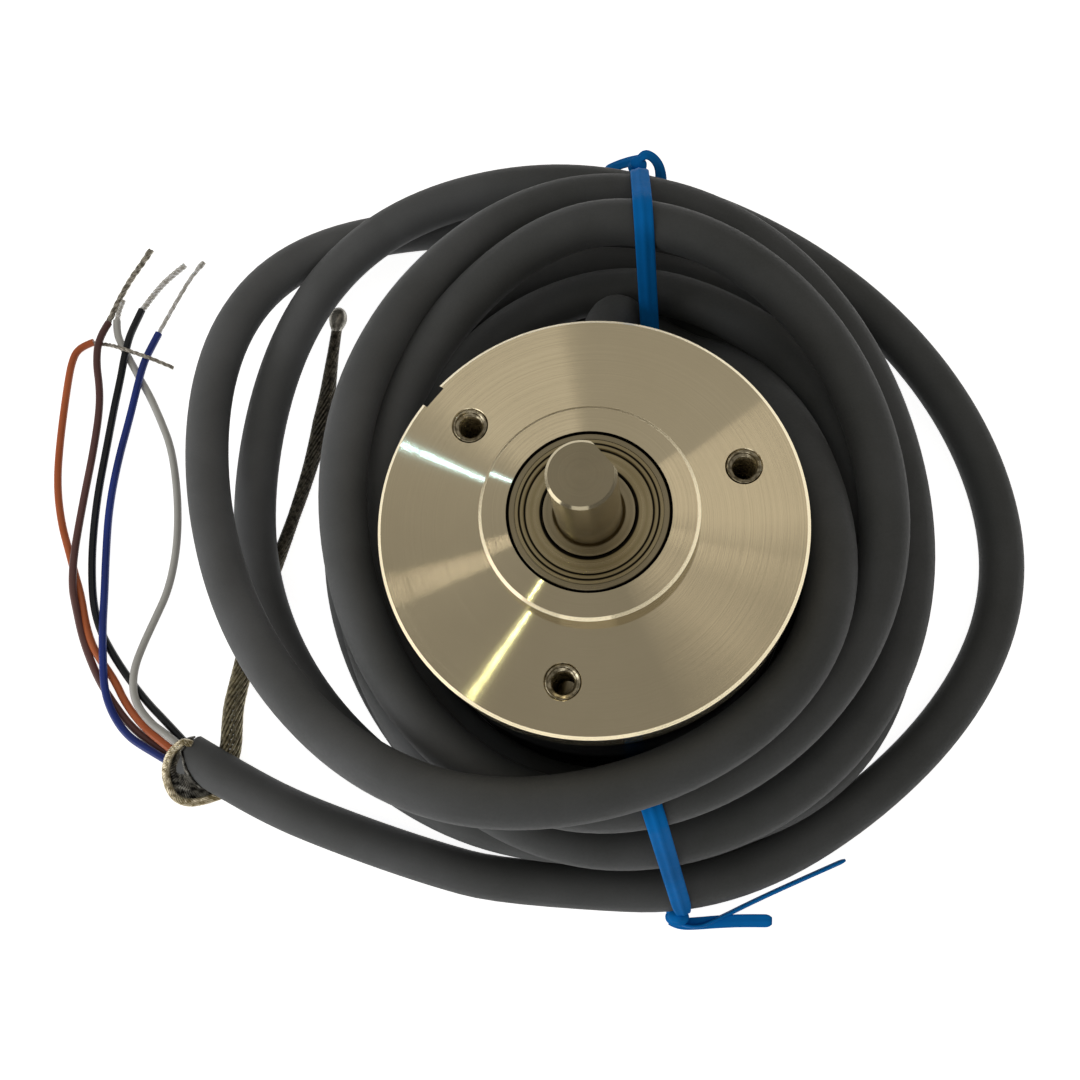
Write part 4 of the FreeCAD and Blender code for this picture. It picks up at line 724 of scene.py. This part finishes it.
# Ribbon ties round the bundle of turns
ties = {
    "width": 2.1,
    "tailWidth": 1.5,
    "thickness": 0.34,
    "rib": 0.2,
    "clearance": 0.45,
    "lowest": 0.25,  # mm from the floor to the band's middle, at least
    "directions": 73,  # in which the loop looks for its furthest turn
    "bandStep": 0.5,  # mm between the points along a band
    "endStep": 0.3,
    "roundSteps": 3,  # steps over which a free end rounds off
    "pinchLength": 2.2,  # mm from the knot within which the band narrows
    # each loop lies in the upright plane from inside to outside and takes in the turns within its reach;
    # leaveOut is how many points of the cable's line, from the gland on, it passes by;
    # each end has the points of its line, then the ribbon's width direction at its start and at its stop
    "north": {
        "inside": (5.4, 24.0), "outside": (3.6, 54.3), "reach": (0.5, 31.5), "leaveOut": 0,
        "knot": (3.6, 52.6, 8.9), "knotSize": (1.05, 1.05, 0.95), "pinch": 0.1,
        "ends": {
            "tail": ([(3.6, 53.4, 8.8), (1.6, 53.9, 7.4), (-0.6, 54, 5.2)], (0, 0.95, -0.2), (0, 0.95, -0.2)),
            "bow": (
                [
                    (3.6, 53, 9.2), (4.2, 53.6, 9.6), (5.1, 53.8, 9.3),
                    (6.15, 53.2, 8.2), (6.5, 52.2, 6.2), (6.4, 51.7, 4.2),
                ],
                (0, 0.95, -0.3), (0.9, 0.3, 0.2),
            ),
        },
    },
    "south": {
        "inside": (4.0, -21.0), "outside": (8.4, -35.1), "reach": (1.0, 18.0), "leaveOut": 180,
        "knot": (7.7, -35.6, 2.0), "knotSize": (1.2, 0.9, 1.2), "pinch": 0.35,
        "ends": {
            "tail": (
                [
                    (8.3, -34.9, 3), (7.2, -35.2, 2.2), (7, -35.9, 1.4), (8.2, -36.4, 1),
                    (10, -36.3, 1), (12, -36.1, 0.9), (15, -35.9, 0.8), (18.2, -35.9, 0.7),
                ],
                (-0.3, 0.8, 0.5), (0.1, 1, 0.3),
            ),
            "edge": (
                [
                    (7.6, -36.2, 1.6), (9.5, -36.9, 1.3), (12, -35.9, 1.2),
                    (16, -33.9, 1.15), (21, -31.6, 1.15), (26.4, -29.2, 1.15),
                ],
                (0, 0, 1), (0, 0, 1),
            ),
        },
    },
}


def bundleLoop(line, radius, tie):
    # the taut loop round the turns that cross an upright plane: in each direction of the plane the furthest
    # turn's centre, moved out by the radius
    inside, outside = np.array(tie["inside"]), np.array(tie["outside"])
    outward = (outside - inside) / np.linalg.norm(outside - inside)
    across = np.array([-outward[1], outward[0]])
    line = line[tie["leaveOut"]:]
    off, way = (line[:, :2] - inside) @ across, (line[:, :2] - inside) @ outward
    nearest, furthest = tie["reach"]
    cut = np.nonzero((off[:-1] * off[1:] < 0) & (way[:-1] > nearest) & (way[:-1] < furthest))[0]
    share = (off[cut] / (off[cut] - off[cut + 1]))[:, None]
    centres = np.column_stack([way, line[:, 2]])
    centres = centres[cut] + share * (centres[cut + 1] - centres[cut])
    turn = np.linspace(0, 2 * np.pi, ties["directions"])
    facing = np.column_stack([np.cos(turn), np.sin(turn)])
    hull = centres[np.argmax(facing @ centres.T, 1)] + radius * facing
    hull[:, 1] = np.maximum(hull[:, 1], ties["lowest"])
    loop = np.column_stack([inside + hull[:, :1] * outward, hull[:, 1]])
    return evenSteps(loop, ties["bandStep"])[:-1], np.array([*across, 0.0])


def freeEnd(points, sideStart, sideEnd, profile):
    # a ribbon along its spline whose width direction eases from one side to the other; the last steps
    # round off: scale = square root of 1 - (1 - rest)^2, with rest = steps left / roundSteps
    line = evenSteps(smoothLine(points), ties["endStep"])
    t = np.linspace(0, 1, len(line))[:, None]
    ease = t * t * (3 - 2 * t)
    across = np.array(sideStart) * (1 - ease) + np.array(sideEnd) * ease
    rest = np.clip((len(line) - 0.5 - np.arange(len(line))) / ties["roundSteps"], 0, 1)
    return carry(line, profile, across, np.sqrt(1 - (1 - rest) ** 2))


def ribbonKnot(centre, size, ridge=0.16, wraps=5):
    # an egg with slanted wraps: radius 1 + ridge sin(v) cos(u + wraps v), at the angles u round it
    # and v from pole to pole
    u, v = np.linspace(0, 2 * np.pi, 28, endpoint=False), np.linspace(0, np.pi, 23)[:, None]
    swell = 1 + ridge * np.sin(v) * np.cos(u + wraps * v)
    egg = np.stack([swell * np.sin(v) * np.cos(u), swell * np.sin(v) * np.sin(u), np.cos(v) + 0 * u], -1)
    return np.array(centre) + np.array(size) * egg


ribbon = ribbonProfile(ties["width"], ties["thickness"], ties["rib"])
tailRibbon = ribbonProfile(ties["tailWidth"], ties["thickness"], ties["rib"] / 2)
bandRadius = cable["diameter"] / 2 + ties["clearance"]
tiePieces = []
for side in ("north", "south"):
    tie = ties[side]
    loop, across = bundleLoop(cableLine, bandRadius, tie)
    fromKnot = np.linalg.norm(loop - tie["knot"], axis=1)
    narrow = 1 - tie["pinch"] * np.exp(-(fromKnot / ties["pinchLength"]) ** 2)
    band = carry(loop, ribbon, across, narrow, closed=True)
    made = [addSurface(f"tie_{side}_band", band, "blue_tie", wrapRows=True)]
    for name, end in tie["ends"].items():
        made.append(addSurface(f"tie_{side}_{name}", freeEnd(*end, tailRibbon), "blue_tie"))
    made.append(addSurface(f"tie_{side}_knot", ribbonKnot(tie["knot"], tie["knotSize"]), "blue_tie"))
    for piece in made:
        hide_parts("tie_" + side)
    tiePieces += made
print("ties made")


# Tapped threads in the three mounting holes
threads = {
    "circle": 15.0,  # radius on which the holes lie
    "azimuths": (20.4, 140.4, 260.4),  # degrees
    "outside": 1.24,
    "crest": 1.02,
    "cutShare": 0.9,  # of the sleeve's wall
    "pitch": 0.5,
    "low": 32.2,
    "high": 38.97,
    "sinkStart": 38.45,  # the countersink's foot, and its radius at the face
    "sinkRadius": 1.62,
    "rows": 141,
    "columns": 48,
}


def tappedThread(threads, azimuth):
    # a sleeve whose inner radius is a triangle wave of height / pitch - angle / turn and opens out
    # in the countersink, and whose outer wall follows it
    angle = np.linspace(0, 2 * np.pi, threads["columns"], endpoint=False)[:, None]
    height = np.linspace(threads["low"], threads["high"], threads["rows"])
    wave = abs((height / threads["pitch"] - angle / (2 * np.pi)) % 1 * 2 - 1)
    deep = threads["outside"] - threads["crest"]
    flare = [0, threads["sinkRadius"] - threads["outside"]]
    sink = np.interp(height, [threads["sinkStart"], threads["high"]], flare)
    inner = threads["crest"] + sink + deep * threads["cutShare"] * wave
    outer = np.broadcast_to((threads["outside"] + sink)[::-1], inner.shape)
    radius = np.concatenate([inner, outer], 1)
    height = np.broadcast_to(np.r_[height, height[::-1]], radius.shape)
    centre = threads["circle"] * np.array([np.cos(np.radians(azimuth)), np.sin(np.radians(azimuth))])
    return np.stack([centre[0] + radius * np.cos(angle), centre[1] + radius * np.sin(angle), height], -1)


for number, azimuth in enumerate(threads["azimuths"], 1):
    sleeve = tappedThread(threads, azimuth)
    addSurface(f"thread_{number}", sleeve, "turned_aluminium", wrapRows=True, finish=details["cutThread"])
print("threads made")


# Floor and light: a white floor, a dim warm room, soft boxes above, fills low in the south and west,
# and small lamps that streak the turned flange
studio = {
    "floor": 3.0,  # metres across
    "floorPoints": 9,  # along each side
    "floorHeight": -0.2,  # mm, just below the foot
    "shaded": (24.0, 30.0),  # mm, the floor under the housing and its coil gets no light
    "glow": 0.9,
    "room": "#b0aca6",
    "northShare": 0.9,
    "southShare": 0.62,  # the room is darker to the south
    "horizonShare": 0.4,
    "aim": 0.035,  # metres above the floor, where the lamps point
    "lamps": [
        # name, azimuth, elevation, distance, width, radiance, colour; in degrees and metres
        ("northWestSoftBox", 115, 43, 0.8, 0.34, 0.24, "#fff8ee"),
        ("eastSoftBox", 38, 58, 0.8, 0.34, 0.32, "#fff4e6"),
        ("southEastSoftBox", 356, 70, 0.8, 0.3, 0.25, "#fff4e6"),
        ("southFill", 265, 18, 0.8, 0.5, 0.9, "#ffffff"),
        ("westFill", 205, 16, 0.8, 0.5, 2.2, "#ffffff"),
        ("westLamp", 170, 59, 0.7, 0.06, 1.4, "#fff4e6"),
        ("northWestLamp", 139, 49, 0.7, 0.012, 90.0, "#addeff"),
        ("southWestLamp", 205, 69, 0.7, 0.012, 90.0, "#f8ffd0"),
    ],
}
half = studio["floor"] / 2 / mm
floorEdge = np.linspace(-half, half, studio["floorPoints"])
floorGrid = np.stack(np.meshgrid(floorEdge, floorEdge, [studio["floorHeight"]], indexing="ij"), -1)
floorMesh = bpy.data.meshes.new("floor")
corner = np.arange(len(floorEdge) ** 2).reshape(len(floorEdge), -1)
floorQuads = np.stack([corner[:-1, :-1], corner[1:, :-1], corner[1:, 1:], corner[:-1, 1:]], -1).reshape(-1, 4)
floorMesh.from_pydata((floorGrid.reshape(-1, 3) * mm).tolist(), [], floorQuads.tolist())
floor = bpy.data.objects.new("floor", floorMesh)
scene.collection.objects.link(floor)
floorFinish, floorShader = newFinish("whitePaperFloor", {
    "Base Color": linear("#f2f2f2"), "Roughness": 0.9, "Emission Color": linear("#ffffff"),
})
place = addNode(floorFinish, "TexCoord")["Object"]
away = addNode(floorFinish, "VectorMath", {0: place}, operation="LENGTH")["Value"]
near, far = np.array(studio["shaded"]) * mm
glow = addNode(floorFinish, "MapRange", {0: away, 1: near, 2: far, 4: studio["glow"]})[0]
feed(floorFinish, floorShader, Emission_Strength=glow)
floorMesh.materials.append(floorFinish)
floor.visible_diffuse = False

world = bpy.data.worlds.new("room")
scene.world = world
world.use_nodes = True
room = world.node_tree.nodes["Background"]
room.inputs["Color"].default_value = linear(studio["room"])
direction = addNode(world, "SeparateXYZ", {0: addNode(world, "TexCoord")["Generated"]})
northRange = {1: -0.1, 2: 0.5, 3: studio["southShare"], 4: studio["northShare"]}
upRange = {1: 0.0, 2: 0.7, 3: studio["horizonShare"], 4: 1.0}
northward = addNode(world, "MapRange", {0: direction["Y"], **northRange})[0]
upward = addNode(world, "MapRange", {0: direction["Z"], **upRange})[0]
share = addNode(world, "Math", {0: northward, 1: upward}, operation="MULTIPLY")[0]
world.node_tree.links.new(share, room.inputs["Strength"])
for name, azimuth, elevation, distance, width, radiance, tint in studio["lamps"]:
    data = bpy.data.lights.new(name, "AREA")
    data.shape, data.size = "DISK" if width < 0.1 else "SQUARE", width
    data.energy = radiance * np.pi * width ** 2
    data.color = linear(tint)[:3]
    lamp = bpy.data.objects.new(name, data)
    scene.collection.objects.link(lamp)
    a, e = np.radians([azimuth, elevation])
    back = np.array([np.cos(e) * np.cos(a), np.cos(e) * np.sin(a), np.sin(e)])
    right = np.cross([0, 0, 1], back)
    right /= np.linalg.norm(right)
    turned = np.eye(4)
    turned[:3, :3] = np.column_stack([right, np.cross(back, right), back])
    turned[:3, 3] = back * distance + np.array([0, 0, studio["aim"]])
    lamp.matrix_world = Matrix(turned.tolist())
print("studio made")
